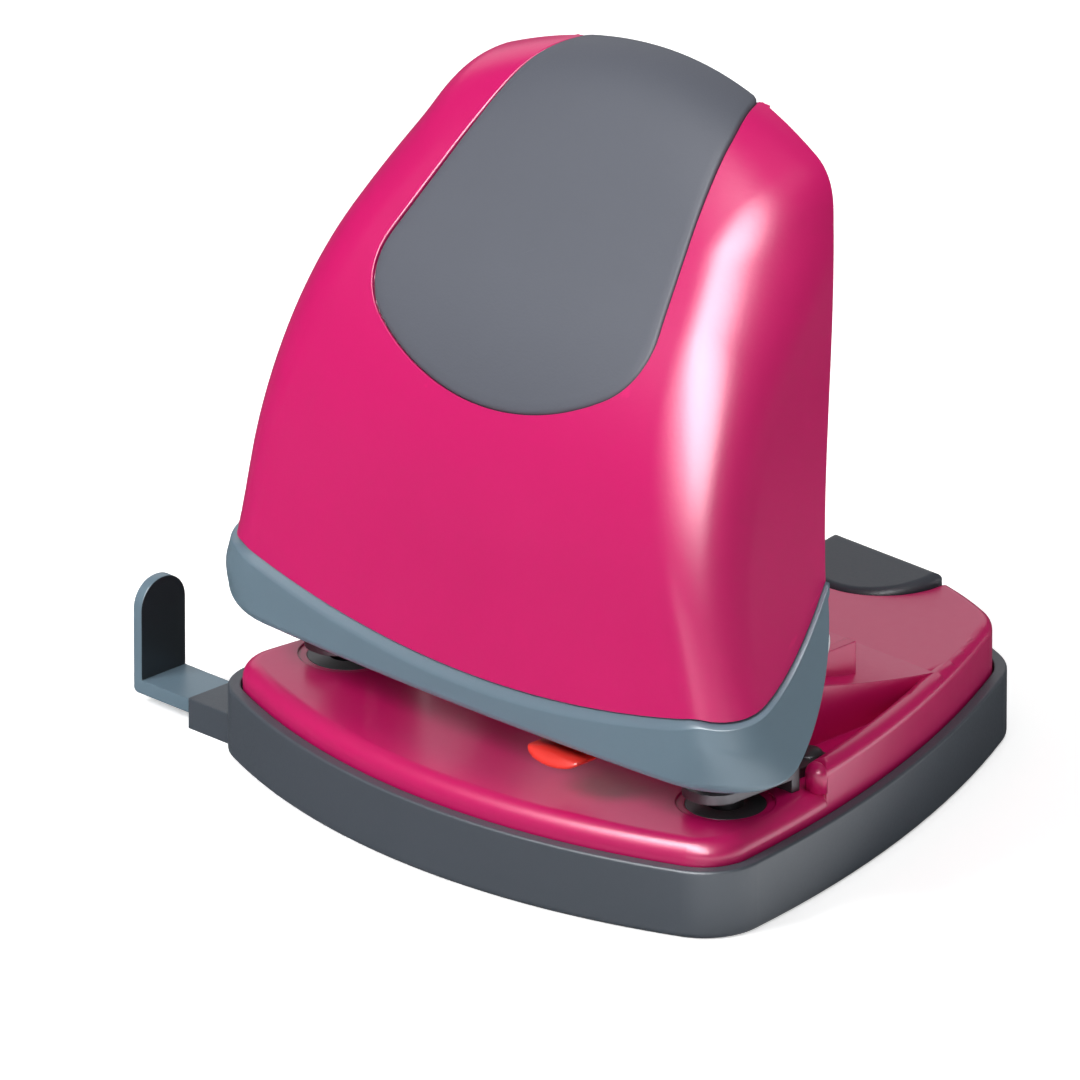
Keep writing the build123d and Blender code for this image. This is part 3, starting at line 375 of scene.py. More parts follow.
def scaled(add, vector, factor):
    """A vector or colour times a factor."""
    return add("ShaderNodeVectorMath", {0: vector, "Scale": factor}, operation="SCALE").outputs["Vector"]


def surface_material(
    name, colour, constants, roughness, grain, bump, tint=0.06, edge=0.25 * MM, edge_highlight=0.12, patchy=0.06
):
    """A node material whose colour, roughness and bump vary with noise on Object coordinates.

    constants are the shader's inputs that are the same all over. grain is the size of the surface's
    texture, bump its height and edge the radius of its softened edges, in metres, with no edge for a
    form that is round already. tint is how much the colour varies, edge_highlight how much lighter the
    edges are painted, a painted highlight, and patchy how much the roughness varies.
    """
    material = bpy.data.materials.new(name)
    material.use_nodes = True
    add = node_adder(material.node_tree)
    place = add("ShaderNodeTexCoord").outputs["Object"]
    cloud = add("ShaderNodeTexNoise", {"Vector": place, "Scale": CLOUD_SCALE, "Detail": 3.0}).outputs["Fac"]
    fine = add(
        "ShaderNodeTexNoise", {"Vector": place, "Scale": 1 / grain, "Detail": 2.0, "Roughness": 0.6}
    ).outputs["Fac"]
    surface = add("ShaderNodeNewGeometry").outputs
    relief = add("ShaderNodeBump", {"Height": fine, "Strength": 1.0, "Distance": bump})
    # Edges are painted lighter, a painted highlight, found by the bend of the softened normal or by
    # pointedness
    if edge:
        soft = add("ShaderNodeBevel", {"Radius": edge}, samples=6).outputs["Normal"]
        set_inputs(relief, {"Normal": soft})
        bend = add("ShaderNodeVectorMath", {0: soft, 1: surface["Normal"]}, operation="DOT_PRODUCT")
        painted_highlight = mapped(add, bend.outputs["Value"], EDGE_HIGHLIGHT_BEND, (0, edge_highlight))
    else:
        painted_highlight = mapped(add, surface["Pointiness"], EDGE_HIGHLIGHT_POINT, (0, edge_highlight))
    shade = mapped(add, cloud, (0, 1), (1 - tint, 1 + tint))
    set_inputs(material.node_tree.nodes["Principled BSDF"], {
        "Base Color": scaled(add, (*colour,), reckoned(add, "ADD", shade, painted_highlight)),
        "Roughness": mapped(add, fine, (0, 1), (roughness - patchy, roughness + patchy)),
        "Normal": relief.outputs["Normal"],
        **constants,
    })
    return material


def hood_plastic(colour):
    """Satin plastic of the hood."""
    return surface_material(
        "hood_satin_plastic", colour, {"Specular IOR Level": 0.6},
        roughness=0.3, grain=0.8 * MM, bump=0.012 * MM, edge=None, patchy=0.02,
    )


def base_paint(colour):
    """Gloss paint of the base plate."""
    return surface_material(
        "base_gloss_paint", colour, {"Coat Weight": 0.12, "Coat Roughness": 0.15},
        roughness=0.32, grain=1.6 * MM, bump=0.004 * MM, edge=0.3 * MM, edge_highlight=0.03, patchy=0.04,
    )


def grip_rubber(colour):
    """Soft rubber of the grip panel."""
    return surface_material(
        "grip_soft_rubber", colour, {"Specular IOR Level": 0.25},
        roughness=0.55, grain=0.4 * MM, bump=0.02 * MM, edge=None,
    )


def trim_plastic(colour):
    """Satin plastic of the skirt."""
    return surface_material(
        "trim_satin_plastic", colour, {}, roughness=0.36, grain=0.5 * MM, bump=0.008 * MM, edge=None
    )


def guide_plastic(colour):
    """Trim plastic of the paper guide, with painted shade on its face towards the paper."""
    material = surface_material(
        "guide_satin_plastic", colour, {}, roughness=0.36, grain=0.5 * MM, bump=0.008 * MM, edge=0.4 * MM
    )
    add = node_adder(material.node_tree)
    shader = material.node_tree.nodes["Principled BSDF"]
    tone = shader.inputs["Base Color"].links[0].from_socket
    # The face towards the right, towards the paper, gets painted shade: its colour is dimmed as it turns
    # that way
    normal = add("ShaderNodeNewGeometry").outputs["Normal"]
    facing = add("ShaderNodeSeparateXYZ", {"Vector": normal}).outputs["X"]
    dimmed = scaled(add, tone, mapped(add, facing, SHADED_FACING, (1, SHADED_SHARE)))
    set_inputs(shader, {"Base Color": dimmed})
    return material


def tray_plastic(colour):
    """Matte plastic of the chip tray."""
    return surface_material(
        "tray_matte_plastic", colour, {}, roughness=0.45, grain=0.5 * MM, bump=0.012 * MM, edge=0.4 * MM
    )


def lock_plastic(colour):
    """Bright plastic of the lock slider."""
    return surface_material(
        "lock_gloss_plastic", colour, {},
        roughness=0.32, grain=0.6 * MM, bump=0.005 * MM, edge=0.35 * MM, patchy=0.04,
    )


def plated_steel(colour):
    """Plated steel of the mechanism."""
    return surface_material(
        "plated_steel", colour, {"Metallic": 0.7}, roughness=0.42, grain=0.35 * MM, bump=0.008 * MM, tint=0.1
    )


def spring_steel(colour):
    """Drawn wire of the springs."""
    return surface_material(
        "spring_wire", colour, {"Metallic": 0.7},
        roughness=0.36, grain=0.2 * MM, bump=0.004 * MM, tint=0.12, edge=None,
    )


FINISHES = {
    "hood_plastic": (hood_plastic, "hood"),
    "base_paint": (base_paint, "base"),
    "grip_rubber": (grip_rubber, "grip"),
    "trim_plastic": (trim_plastic, "trim"),
    "tray_plastic": (tray_plastic, "tray"),
    "lock_plastic": (lock_plastic, "lock"),
    "steel": (plated_steel, "steel"),
    "spring_steel": (spring_steel, "wire"),
    "guide": (guide_plastic, "trim"),
    # bracket: plated steel darkened as painted shade
    "bracket": (plated_steel, "bracket"),
}
# Brackets and dies take the darkened steel, painted shade where they lie in shadow
OWN_FINISHES = {
    "paper_guide": "guide",
    "punch_bracket_left": "bracket",
    "punch_bracket_right": "bracket",
    "die_left": "bracket",
    "die_right": "bracket",
}
made_finishes = {}


def finish_of(slot):
    """The finish of a record slot or of a piece that has its own, made once."""
    if slot not in made_finishes:
        maker, colour = FINISHES[slot]
        made_finishes[slot] = maker(getattr(bpy.context.scene.punch_colours, colour))
    return made_finishes[slot]


class PUNCH_OT_finishes(bpy.types.Operator):
    """Gives every solid the finish of its slot"""

    bl_idname = "punch.finishes"
    bl_label = "Finish the solids"

    def execute(self, context):
        for row in frame["record"]["subparts"]:
            finish = OWN_FINISHES.get(row["node"], row["material_slot"])
            for slot in NODES[row["node"]].material_slots:
                slot.material = finish_of(finish)
        return {"FINISHED"}


# Pieces and their meshes

def new_object(name, data):
    """A new object in the scene."""
    thing = bpy.data.objects.new(name, data)
    bpy.context.scene.collection.objects.link(thing)
    return thing


def place_piece(name, mesh, node, slot, finish=None, instead=True):
    """Shows a finished mesh instead of its solid, or beside it, and lets it ride with the solid's body."""
    if not mesh.polygons:
        raise RuntimeError(f"{name} has no faces")
    piece = new_object(name, mesh)
    mesh.materials.clear()
    mesh.materials.append(finish_of(finish or slot))
    if instead:
        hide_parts(node)
    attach(piece, BODY_OF[node])
    return piece


def ring_faces(rows, columns, closed_rows, closed_columns):
    """Quads of a grid of points numbered row by row, the grid open or closed either way."""
    faces = []
    for row in range(rows if closed_rows else rows - 1):
        for column in range(columns if closed_columns else columns - 1):
            after, beside = (row + 1) % rows, (column + 1) % columns
            corners = ((row, column), (row, beside), (after, beside), (after, column))
            faces.append([line * columns + place for line, place in corners])
    return faces


class Solid:
    """Vertices and faces of a piece in millimetres, gathered from several closed forms."""

    BOX_FACES = ((0, 2, 3, 1), (4, 5, 7, 6), (0, 1, 5, 4), (2, 6, 7, 3), (0, 4, 6, 2), (1, 3, 7, 5))

    def __init__(self):
        self.points = []
        self.faces = []

    def add(self, points, faces):
        """Adds points, and faces that number them from nothing."""
        start = len(self.points)
        self.points += [tuple(point) for point in points]
        self.faces += [tuple(start + index for index in face) for face in faces]

    def add_grid(self, grid, closed_rows=False, closed_columns=False, capped=False):
        """Adds a grid of points of shape (rows, 3, columns), its first and last column capped or not."""
        rows, _, columns = grid.shape
        faces = ring_faces(rows, columns, closed_rows, closed_columns)
        if capped:
            faces += [[row * columns + column for row in range(rows)] for column in (0, columns - 1)]
        self.add(grid.transpose(0, 2, 1).reshape(-1, 3), faces)

    def add_box(self, low, high):
        """Adds a box between two corners."""
        ends = list(zip(low, high))
        self.add([(x, y, z) for z in ends[2] for y in ends[1] for x in ends[0]], self.BOX_FACES)

    def build(self, name, node, slot, skin_level=None, instead=True):
        """Makes the piece's object, shaded as the handle's skin where it lies at a level over that."""
        mesh = bpy.data.meshes.new(name)
        work = bmesh.new()
        vertices = [work.verts.new([value * MM for value in point]) for point in self.points]
        for face in self.faces:
            work.faces.new([vertices[index] for index in face])
        bmesh.ops.remove_doubles(work, verts=work.verts, dist=WELD * MM)
        bmesh.ops.dissolve_degenerate(work, edges=work.edges, dist=SLIVER * MM)
        bmesh.ops.recalc_face_normals(work, faces=work.faces)
        work.to_mesh(mesh)
        work.free()
        mesh.shade_smooth()
        if skin_level is not None:
            points = np.array([vertex.co for vertex in mesh.vertices]).T / MM
            normals = np.array([normal.vector for normal in mesh.vertex_normals])
            on_skin = np.abs(handle_distance(*points) - skin_level) < SKIN_BAND
            normals[on_skin] = skin_normals(points)[on_skin]
            mesh.normals_split_custom_set_from_vertices(normals)
        return place_piece(name, mesh, node, slot, instead=instead)


# Handle form, in millimetres

def through(points):
    """Polynomial through (place, value) points."""
    places, values = zip(*points)
    return np.poly1d(np.polyfit(places, values, len(points) - 1))


def ease(value, first, last):
    """Goes softly from 0 to 1 while a value goes from first to last."""
    share = np.clip((value - first) / (last - first), 0, 1)
    return share**2 * (3 - 2 * share)


half_width = through(HALF_WIDTHS)
half_width_change = half_width.deriv()
rear_line = through(REAR_LINE)
seam_side = through(SEAM_SIDE)


def rounded(first, second, radius, cosine):
    """Distance to the overlap of two bodies, its edge rounded.

    first and second are the distances to the two bodies and cosine is that of the angle between
    their normals.
    """
    a, b = first + radius, second + radius
    spread = 1 - cosine**2
    part_a, part_b = (a - b * cosine) / spread, (b - a * cosine) / spread
    on_edge = (part_a > 0) & (part_b > 0)
    out = np.sqrt(np.maximum((a * a + b * b - 2 * a * b * cosine) / spread, 1e-9))
    return np.where(on_edge, out - radius, np.maximum(first, second))


def handle_distance(x, y, z):
    """Distance of points from the handle's outer skin, less than nothing inside."""
    ahead = y - x**2 / (2 * CROWN_R) - FRONT_Y
    slope = np.cos(SLOPE) * (z - BEND_Z) - np.sin(SLOPE) * ahead
    face = rounded(-ahead, slope, BEND_R, np.cos(SLOPE))
    face_up = np.cos(SLOPE) * ease(z, *FACE_TURN)
    tilt = half_width_change(z)
    side_scale = 1 / np.hypot(1, tilt)
    side = (np.abs(x) - half_width(z)) * side_scale
    fall = 2 * CREST_FALL * np.abs(x)
    crest_scale = 1 / np.hypot(1, fall)
    crest = (z - CREST_Z + CREST_FALL * x**2) * crest_scale
    cosine = side_scale * crest_scale * (fall - tilt)
    outline = rounded(side, crest, SHOULDER_R, cosine)
    outline_up = SIDE_UP + (1 - SIDE_UP) * ease(z, *CREST_TURN)
    corner = CORNER_R + sum(gain * ease(z, first, last) for first, last, gain in CORNER_GAINS)
    return rounded(face, outline, corner, face_up * outline_up)


def skin_normals(points):
    """Outward directions of the handle's skin at points."""
    shifts = NORMAL_STEP * np.eye(3)[:, :, None]
    lean = np.stack([
        handle_distance(*(points + shift)) - handle_distance(*(points - shift)) for shift in shifts
    ])
    return (lean / np.linalg.norm(lean, axis=0)).T


def behind(x, y, z):
    """How far points lie behind the handle's rear edge or below its bottom edge."""
    flat_y = y - x**2 / (2 * CROWN_R)
    heel_top = REAR_LINE[0][0]
    rear = flat_y - rear_line(np.maximum(z, heel_top))
    heel = np.hypot(flat_y - HEEL[0], z - HEEL[1]) - HEEL[2]
    return np.maximum(np.where(z > heel_top, rear, heel), BOTTOM_Z - z)


def above_seam(x, y, z):
    """Height of points over the line where the skirt meets the hood."""
    front = SEAM_FRONT[0] + SEAM_FRONT[1] * x**2
    share = ease(np.abs(x), *SEAM_CORNER)
    return z - front * (1 - share) - seam_side(y) * share


def crossing(outside, limit, shape):
    """Lengths at which a test comes true, found by halving the range from nothing to a limit."""
    near, far = np.zeros(shape), np.full(shape, limit)
    for _ in range(HALVINGS):
        middle = (near + far) / 2
        past = outside(middle)
        far = np.where(past, middle, far)
        near = np.where(past, near, middle)
    return near


def reach(start, way, level):
    """Points along rays from inside the handle where they pass a level over its skin."""
    way = np.stack(np.broadcast_arrays(*way))
    start = np.stack([np.broadcast_to(value, way[0].shape) for value in start])
    length = crossing(
        lambda tried: handle_distance(*(start + way * tried)) > level, RAY_LENGTH, way[0].shape
    )
    return start + way * length


def cast(turn, rise, level=0.0):
    """Points of the skin seen from between the tips, turn from left to right and rise from the front up."""
    way = (np.sin(turn), -np.cos(turn) * np.cos(rise), np.cos(turn) * np.sin(rise))
    return reach(TIP, way, level)


def cast_across(x, rise, level=0.0):
    """Points of the skin at a distance x from the middle plane, seen from the line between the tips."""
    way = (np.zeros_like(x * rise), -np.cos(rise), np.sin(rise))
    return reach((x, TIP[1], TIP[2]), way, level)


def edge_turns(count):
    """Turns from tip to tip."""
    return np.radians(np.linspace(-90, 90, count))


def edge_rise(turn, test, first, last):
    """Rise at which a test on the skin turns from below to above nothing."""
    steps = np.radians(np.linspace(first, last, RISE_STEPS))[:, None]
    values = test(*cast(turn, steps))
    after = np.maximum(np.argmax(values > 0, axis=0), 1)[None]
    high = np.take_along_axis(values, after, 0)
    low = np.take_along_axis(values, after - 1, 0)
    return (steps[after - 1, 0] + (steps[after, 0] - steps[after - 1, 0]) * low / (low - high))[0]


def edge_along(turn, test, first, last):
    """Rise of an edge from tip to tip; at the tips themselves every rise is the same point."""
    return np.pad(edge_rise(turn[1:-1], test, first, last), 1, mode="edge")


def shell_rows(turn, lower, upper, outer, inner, count, roll):
    """Rows of points round a shell between two rises, its edges rolled.

    outer gives the level of the outer skin at a place and inner is that of the inner one; count is
    the number of rows on either and roll how far the rolled edges reach.
    """
    def level_at(rise):
        return outer(*cast(turn, rise))

    def distance(rise):
        return np.linalg.norm(cast(turn, rise) - TIP[:, None], axis=0)

    low, high = lower + roll / distance(lower), upper - roll / distance(upper)
    low_level, high_level = level_at(lower), level_at(upper)
    rises = [low + (high - low) * share for share in np.linspace(0, 1, count)]
    rows = [cast(turn, rise, level_at(rise)) for rise in rises]
    for angle in ROLL_STEPS:
        level = high_level + (inner - high_level) * (1 - np.cos(angle)) / 2
        rows.append(cast(turn, high + (upper - high) * np.sin(angle), level))
    rows += [cast(turn, rise, inner) for rise in reversed(rises)]
    for angle in ROLL_STEPS:
        level = inner + (low_level - inner) * (1 - np.cos(angle)) / 2
        rows.append(cast(turn, low + (lower - low) * np.sin(angle), level))
    return np.stack(rows)


def grip_distance(x, y, z):
    """Distance of points of the skin from the grip panel's outline, less than nothing inside."""
    wide = np.abs(x)
    over = z - GRIP_BOTTOM_Z - GRIP_SAG_R
    out = np.maximum(np.hypot(wide, over), 1e-6)
    run, climb = GRIP_HIGH[0] - GRIP_LOW[0], GRIP_HIGH[1] - GRIP_LOW[1]
    normal = np.array((climb, -run)) / np.hypot(run, climb)
    past_crest = y - GRIP_CREST_Y
    climbed = z + GRIP_TAPER * (past_crest + np.hypot(past_crest, GRIP_CREST_SOFT))
    side = (wide - GRIP_LOW[0]) * normal[0] + (climbed - GRIP_LOW[1]) * normal[1]
    cosine = np.clip((wide * normal[0] + over * normal[1]) / out, -0.95, 0.95)
    outline = rounded(out - GRIP_SAG_R, side, GRIP_CORNER_R, cosine)
    return rounded(outline, behind(x, y, z) + GRIP_MARGIN, GRIP_REAR_R, 0.0)


def grip_rings(profile, shares=(), open_rear=False):
    """Rings of points along the grip's outline.

    profile lists how far in from the outline and how high over the skin each ring lies; shares
    lists smaller and smaller copies of the last ring that fill it. With open_rear the rings stop
    ahead of the handle's rear edge. Points of the skin go by x, their distance from the middle
    plane, and m, the way to them up the front.
    """
    middle = cast_across(np.zeros_like(MERIDIAN), MERIDIAN)
    along = np.concatenate([[0], np.cumsum(np.linalg.norm(np.diff(middle), axis=0))])
    crest = middle[2].argmax()
    centre = np.interp(GRIP_CENTRE_Z, middle[2, :crest], along[:crest])

    def skin(x, m, level=0.0):
        return cast_across(x, np.interp(m, along, MERIDIAN), level)

    def distance(x, m):
        return grip_distance(*skin(x, m))

    angle = np.linspace(0, 2 * np.pi, GRIP_POINTS, endpoint=False) + np.pi / 2
    across, up = np.cos(angle), np.sin(angle)
    out = crossing(
        lambda tried: distance(tried * across, centre + tried * up) > 0, GRIP_REACH, angle.shape
    )
    x, m = out * across, centre + out * up
    lean_x = distance(x + OUTLINE_STEP, m) - distance(x - OUTLINE_STEP, m)
    lean_m = distance(x, m + OUTLINE_STEP) - distance(x, m - OUTLINE_STEP)
    length = np.hypot(lean_x, lean_m)
    lean_x, lean_m = lean_x / length, lean_m / length
    if open_rear:
        beside = behind(*skin(x, m)) < -LIP_END
        x, m, lean_x, lean_m = x[beside], m[beside], lean_x[beside], lean_m[beside]

    def ring(x, m, level):
        lift = 0.0 if open_rear else GRIP_LIFT * ease(skin(x, m)[2], *GRIP_LIFT_TURN)
        return skin(x, m, level + lift)

    rings = [ring(x - lean_x * inset, m - lean_m * inset, level) for inset, level in profile]
    inset, level = profile[-1]
    x, m = x - lean_x * inset, m - lean_m * inset
    rings += [ring(x * share, centre + (m - centre) * share, level) for share in shares]
    return np.stack(rings)


def recess_level(x, y, z):
    """Level of the hood's skin, which lies lower under the grip panel."""
    return -RECESS_DEPTH * ease(grip_distance(x, y, z), *RECESS_EDGE)


# Pieces of the handle and the base

class PUNCH_OT_hood(bpy.types.Operator):
    """Builds the hood with its rolled edges, posts and ribs"""

    bl_idname = "punch.hood"
    bl_label = "Build the hood"

    def execute(self, context):
        form = context.scene.punch_form
        wall = form.wall / MM
        turn = edge_turns(form.columns)
        lower = edge_along(turn, lambda *place: above_seam(*place) - SEAM_GAP, *SEAM_RISES)
        upper = edge_along(turn, behind, *REAR_RISES)
        rows = shell_rows(turn, lower, upper, recess_level, -wall, form.rows, HOOD_ROLL)
        hood = Solid()
        hood.add_grid(rows, closed_rows=True)
        hood.add_grid(grip_rings(LIP_PROFILE, open_rear=True), closed_rows=True, capped=True)
        for side in (-1, 1):
            self.add_post(hood, side * POST_X, ROOT_SHARE * wall)
        hood.build("hood", "handle_shell", "hood_plastic", 0.0)
        return {"FINISHED"}

    def add_post(self, hood, x, depth):
        """A round screw post and the rib that ties it to the hood's front."""
        angle = np.linspace(0, 2 * np.pi, POST_POINTS, endpoint=False)
        flat, full = np.zeros(POST_POINTS), np.ones(POST_POINTS)
        up = (flat, flat, full)
        ring = np.stack([x + POST_R * np.cos(angle), POST_Y + POST_R * np.sin(angle), POST_Z * full])
        middle = np.stack([x * full, POST_Y * full, POST_Z * full])
        post = np.stack([middle, ring, reach(ring, up, -depth), reach(middle, up, -depth)])
        hood.add_grid(post, closed_columns=True)
        roof = reach((x, POST_Y, POST_Z), (0.0, 0.0, 1.0), -depth)[2]
        flat, full = np.zeros(RIB_POINTS), np.ones(RIB_POINTS)
        back = np.stack([x * full, POST_Y * full, np.linspace(POST_Z + RIB_RISE, roof, RIB_POINTS)])
        front = reach(back, (flat, -full, flat), -depth)
        half = np.array((RIB_HALF, 0, 0))[:, None]
        rib = np.stack([back - half, front - half, front + half, back + half])
        hood.add_grid(rib, closed_rows=True, capped=True)


class PUNCH_OT_grip(bpy.types.Operator):
    """Builds the soft grip panel in the hood's recess"""

    bl_idname = "punch.grip"
    bl_label = "Build the grip"

    def execute(self, context):
        grip = Solid()
        grip.add_grid(grip_rings(GRIP_PROFILE, GRIP_FILL), closed_columns=True)
        grip.add_grid(grip_rings(GRIP_PROFILE[:1], GRIP_FILL[::3]), closed_columns=True)
        grip.build("grip", "handle_grip", "grip_rubber")
        return {"FINISHED"}


class PUNCH_OT_skirt(bpy.types.Operator):
    """Builds the skirt with its rolled edges and the track of the lock"""

    bl_idname = "punch.skirt"
    bl_label = "Build the skirt"

    def execute(self, context):
        form = context.scene.punch_form
        proud, wall = form.skirt_proud / MM, form.wall / MM
        turn = edge_turns(form.columns)
        lower = edge_along(turn, lambda *place: -behind(*place), *BOTTOM_RISES)
        upper = edge_along(turn, lambda *place: above_seam(*place) + SEAM_GAP, *SEAM_RISES)

        def tucked_level(x, y, z):
            below = np.clip((BOTTOM_Z + SKIRT_TUCK_RISE - z) / SKIRT_TUCK_RISE, 0, 1)
            return proud - SKIRT_TUCK * below**2

        rows = shell_rows(turn, lower, upper, tucked_level, -wall, form.skirt_rows, SKIRT_ROLL)
        skirt = Solid()
        skirt.add_grid(rows, closed_rows=True)
        for low, high in LOCK_TRACK:
            skirt.add_box(low, high)
        skirt.build("skirt", "handle_skirt", "trim_plastic", proud)
        return {"FINISHED"}


class PUNCH_OT_lock(bpy.types.Operator):
    """Builds the lock slider: a T-shaped rail, a plate and a nub under the skirt's edge"""

    bl_idname = "punch.lock"
    bl_label = "Build the lock"

    def execute(self, context):
        lock = Solid()
        for low, high in LOCK_RAIL:
            lock.add_box(low, high)
        angle = np.linspace(np.pi, 2 * np.pi, NUB_POINTS)
        full = np.ones(NUB_POINTS)
        rows = []
        for inset, y in NUB_PROFILE:
            x = NUB_X + (NUB_HALF - inset) * np.cos(angle)
            z = NUB_TOP + (NUB_DROP - inset) * np.sin(angle)
            rows.append(np.stack([x, y + NUB_LEAN * (z - NUB_TOP), z]))
        front, back = (
            np.stack([NUB_X * full, y * full, NUB_TOP * full]) for y in (NUB_PROFILE[0][1], NUB_BACK)
        )
        lock.add_grid(np.stack([front, *rows, back]), closed_rows=True, capped=True)
        lock.build("lock", "lock_slider", "lock_plastic")
        return {"FINISHED"}


class PUNCH_OT_rim_ends(bpy.types.Operator):
    """Rounds the front ends of the base plate's rim"""

    bl_idname = "punch.rim_ends"
    bl_label = "Round the rim's ends"

    def execute(self, context):
        arc = np.linspace(0, np.pi / 2, RIM_EDGE_POINTS)
        radii = RIM_END_R - RIM_EDGE_R * (1 - np.cos(arc))
        heights = RIM_TOP - RIM_EDGE_R * (1 - np.sin(arc))
        edge = [(RIM_END_R, RIM_END_FOOT), *zip(radii, heights), (0.0, RIM_TOP), (0.0, RIM_END_FOOT)]
        turn = np.linspace(np.pi, 2 * np.pi, RIM_END_POINTS)
        ends = Solid()
        for side in (-1, 1):
            rows = [
                np.stack([
                    side * (RIM_END_X + radius * np.cos(turn)),
                    RIM_END_Y + radius * np.sin(turn),
                    np.full_like(turn, height),
                ])
                for radius, height in edge
            ]
            ends.add_grid(np.stack(rows), closed_rows=True, capped=True)
        ends.build("rim_ends", "base_plate", "base_paint", instead=False)
        return {"FINISHED"}


# Pieces grown by geometry nodes

def form_tree(name, sizes):
    """A new geometry node tree with inputs for sizes, a place and a material.

    Returns it with a helper for adding nodes and its inputs' sockets.
    """
    tree = bpy.data.node_groups.new(name, "GeometryNodeTree")
    kinds = {**dict.fromkeys(sizes, "Float"), "Place": "Vector", "Material": "Material"}
    for label, kind in kinds.items():
        tree.interface.new_socket(label, in_out="INPUT", socket_type=f"NodeSocket{kind}")
    tree.interface.new_socket("Geometry", in_out="OUTPUT", socket_type="NodeSocketGeometry")
    add = node_adder(tree)
    return tree, add, add("NodeGroupInput").outputs


def moved(add, geometry, how):
    """Geometry that is shifted or scaled."""
    return add("GeometryNodeTransform", {"Geometry": geometry, **how}).outputs["Geometry"]


def end_tree(add, geometry, material):
    """Ends a tree: instances made real, smooth, and with their material."""
    real = add("GeometryNodeRealizeInstances", {"Geometry": geometry})
    smooth = add("GeometryNodeSetShadeSmooth", {"Geometry": real.outputs["Geometry"]})
    painted = add("GeometryNodeSetMaterial", {"Geometry": smooth.outputs["Geometry"], "Material": material})
    add("NodeGroupOutput", {"Geometry": painted.outputs["Geometry"]})


def grown_mesh(tree, values):
    """The plain mesh that a tree makes from named values."""
    seed = new_object(tree.name, bpy.data.meshes.new(tree.name))
    modifier = seed.modifiers.new("form", "NODES")
    modifier.node_group = tree
    for item in tree.interface.items_tree:
        if item.in_out == "INPUT":
            modifier[item.identifier] = values[item.name]
    bpy.context.view_layer.update()
    mesh = bpy.data.meshes.new_from_object(seed.evaluated_get(bpy.context.evaluated_depsgraph_get()))
    bpy.data.objects.remove(seed)
    return mesh


def spring_tree():
    """A wire spring with flat end turns."""
    tree, add, given = form_tree("wire_spring", ("Turns", "Radius", "Wire radius", "Height"))
    spiral = add("GeometryNodeCurveSpiral", {
        "Resolution": TURN_POINTS,
        "Rotations": given["Turns"],
        "Start Radius": given["Radius"],
        "End Radius": given["Radius"],
        "Height": given["Height"],
    })
    end = reckoned(add, "DIVIDE", FLAT_TURNS, given["Turns"])
    start = reckoned(add, "SUBTRACT", 1.0, end)
    top = reckoned(add, "SUBTRACT", given["Height"], given["Wire radius"])
    along = add("GeometryNodeSplineParameter").outputs["Factor"]
    level = mapped(add, along, (end, start), (given["Wire radius"], top))
    position = add("GeometryNodeInputPosition").outputs["Position"]
    flat = add("ShaderNodeSeparateXYZ", {"Vector": position}).outputs
    place = add("ShaderNodeCombineXYZ", {"X": flat["X"], "Y": flat["Y"], "Z": level})
    path = add("GeometryNodeSetPosition", {
        "Geometry": spiral.outputs["Curve"],
        "Position": place.outputs["Vector"],
    })
    section = add("GeometryNodeCurvePrimitiveCircle", {
        "Resolution": WIRE_POINTS,
        "Radius": given["Wire radius"],
    })
    wire = add("GeometryNodeCurveToMesh", {
        "Curve": path.outputs["Geometry"],
        "Profile Curve": section.outputs["Curve"],
        "Fill Caps": True,
    })
    end_tree(add, moved(add, wire.outputs["Mesh"], {"Translation": given["Place"]}), given["Material"])
    return tree


def rivet_tree():
    """Round-headed rivets on the corners of a rectangle."""
    sizes = ("Width", "Depth", "Head radius", "Head height", "Shank radius", "Grip")
    tree, add, given = form_tree("foot_rivets", sizes)
    spots = add("GeometryNodeMeshGrid", {
        "Size X": given["Width"], "Size Y": given["Depth"], "Vertices X": 2, "Vertices Y": 2,
    })
    ball = add("GeometryNodeMeshUVSphere", {
        "Segments": RIVET_POINTS, "Rings": RIVET_POINTS // 2, "Radius": given["Head radius"],
    })
    rod = add("GeometryNodeMeshCylinder", {
        "Vertices": RIVET_POINTS, "Radius": given["Shank radius"], "Depth": given["Grip"],
    })
    squeeze = reckoned(add, "DIVIDE", given["Head height"], given["Head radius"])
    shape = add("ShaderNodeCombineXYZ", {"X": 1.0, "Y": 1.0, "Z": squeeze}).outputs["Vector"]
    lower = reckoned(add, "SUBTRACT", 0.0, given["Grip"])
    half = reckoned(add, "MULTIPLY", lower, 0.5)
    below, between = (
        add("ShaderNodeCombineXYZ", {"Z": height}).outputs["Vector"] for height in (lower, half)
    )
    parts = (
        moved(add, ball.outputs["Mesh"], {"Scale": shape}),
        moved(add, ball.outputs["Mesh"], {"Scale": shape, "Translation": below}),
        moved(add, rod.outputs["Mesh"], {"Translation": between}),
    )
    rivet = add("GeometryNodeJoinGeometry")
    for part in parts:
        set_inputs(rivet, {"Geometry": part})
    placed = add("GeometryNodeInstanceOnPoints", {
        "Points": moved(add, spots.outputs["Mesh"], {"Translation": given["Place"]}),
        "Instance": rivet.outputs["Geometry"],
    })
    end_tree(add, placed.outputs["Instances"], given["Material"])
    return tree


class PUNCH_OT_springs(bpy.types.Operator):
    """Builds the two return springs"""

    bl_idname = "punch.springs"
    bl_label = "Build the return springs"

    def execute(self, context):
        spring = context.scene.punch_spring
        tree = spring_tree()
        for side, x in (("left", -spring.reach), ("right", spring.reach)):
            mesh = grown_mesh(tree, {
                "Turns": spring.turns,
                "Radius": spring.radius,
                "Wire radius": spring.wire / 2,
                "Height": spring.height,
                "Place": (x, 0.0, spring.foot),
                "Material": finish_of("spring_steel"),
            })
            piece = place_piece(f"spring_{side}", mesh, f"return_spring_{side}", "spring_steel")
            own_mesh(piece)
        return {"FINISHED"}


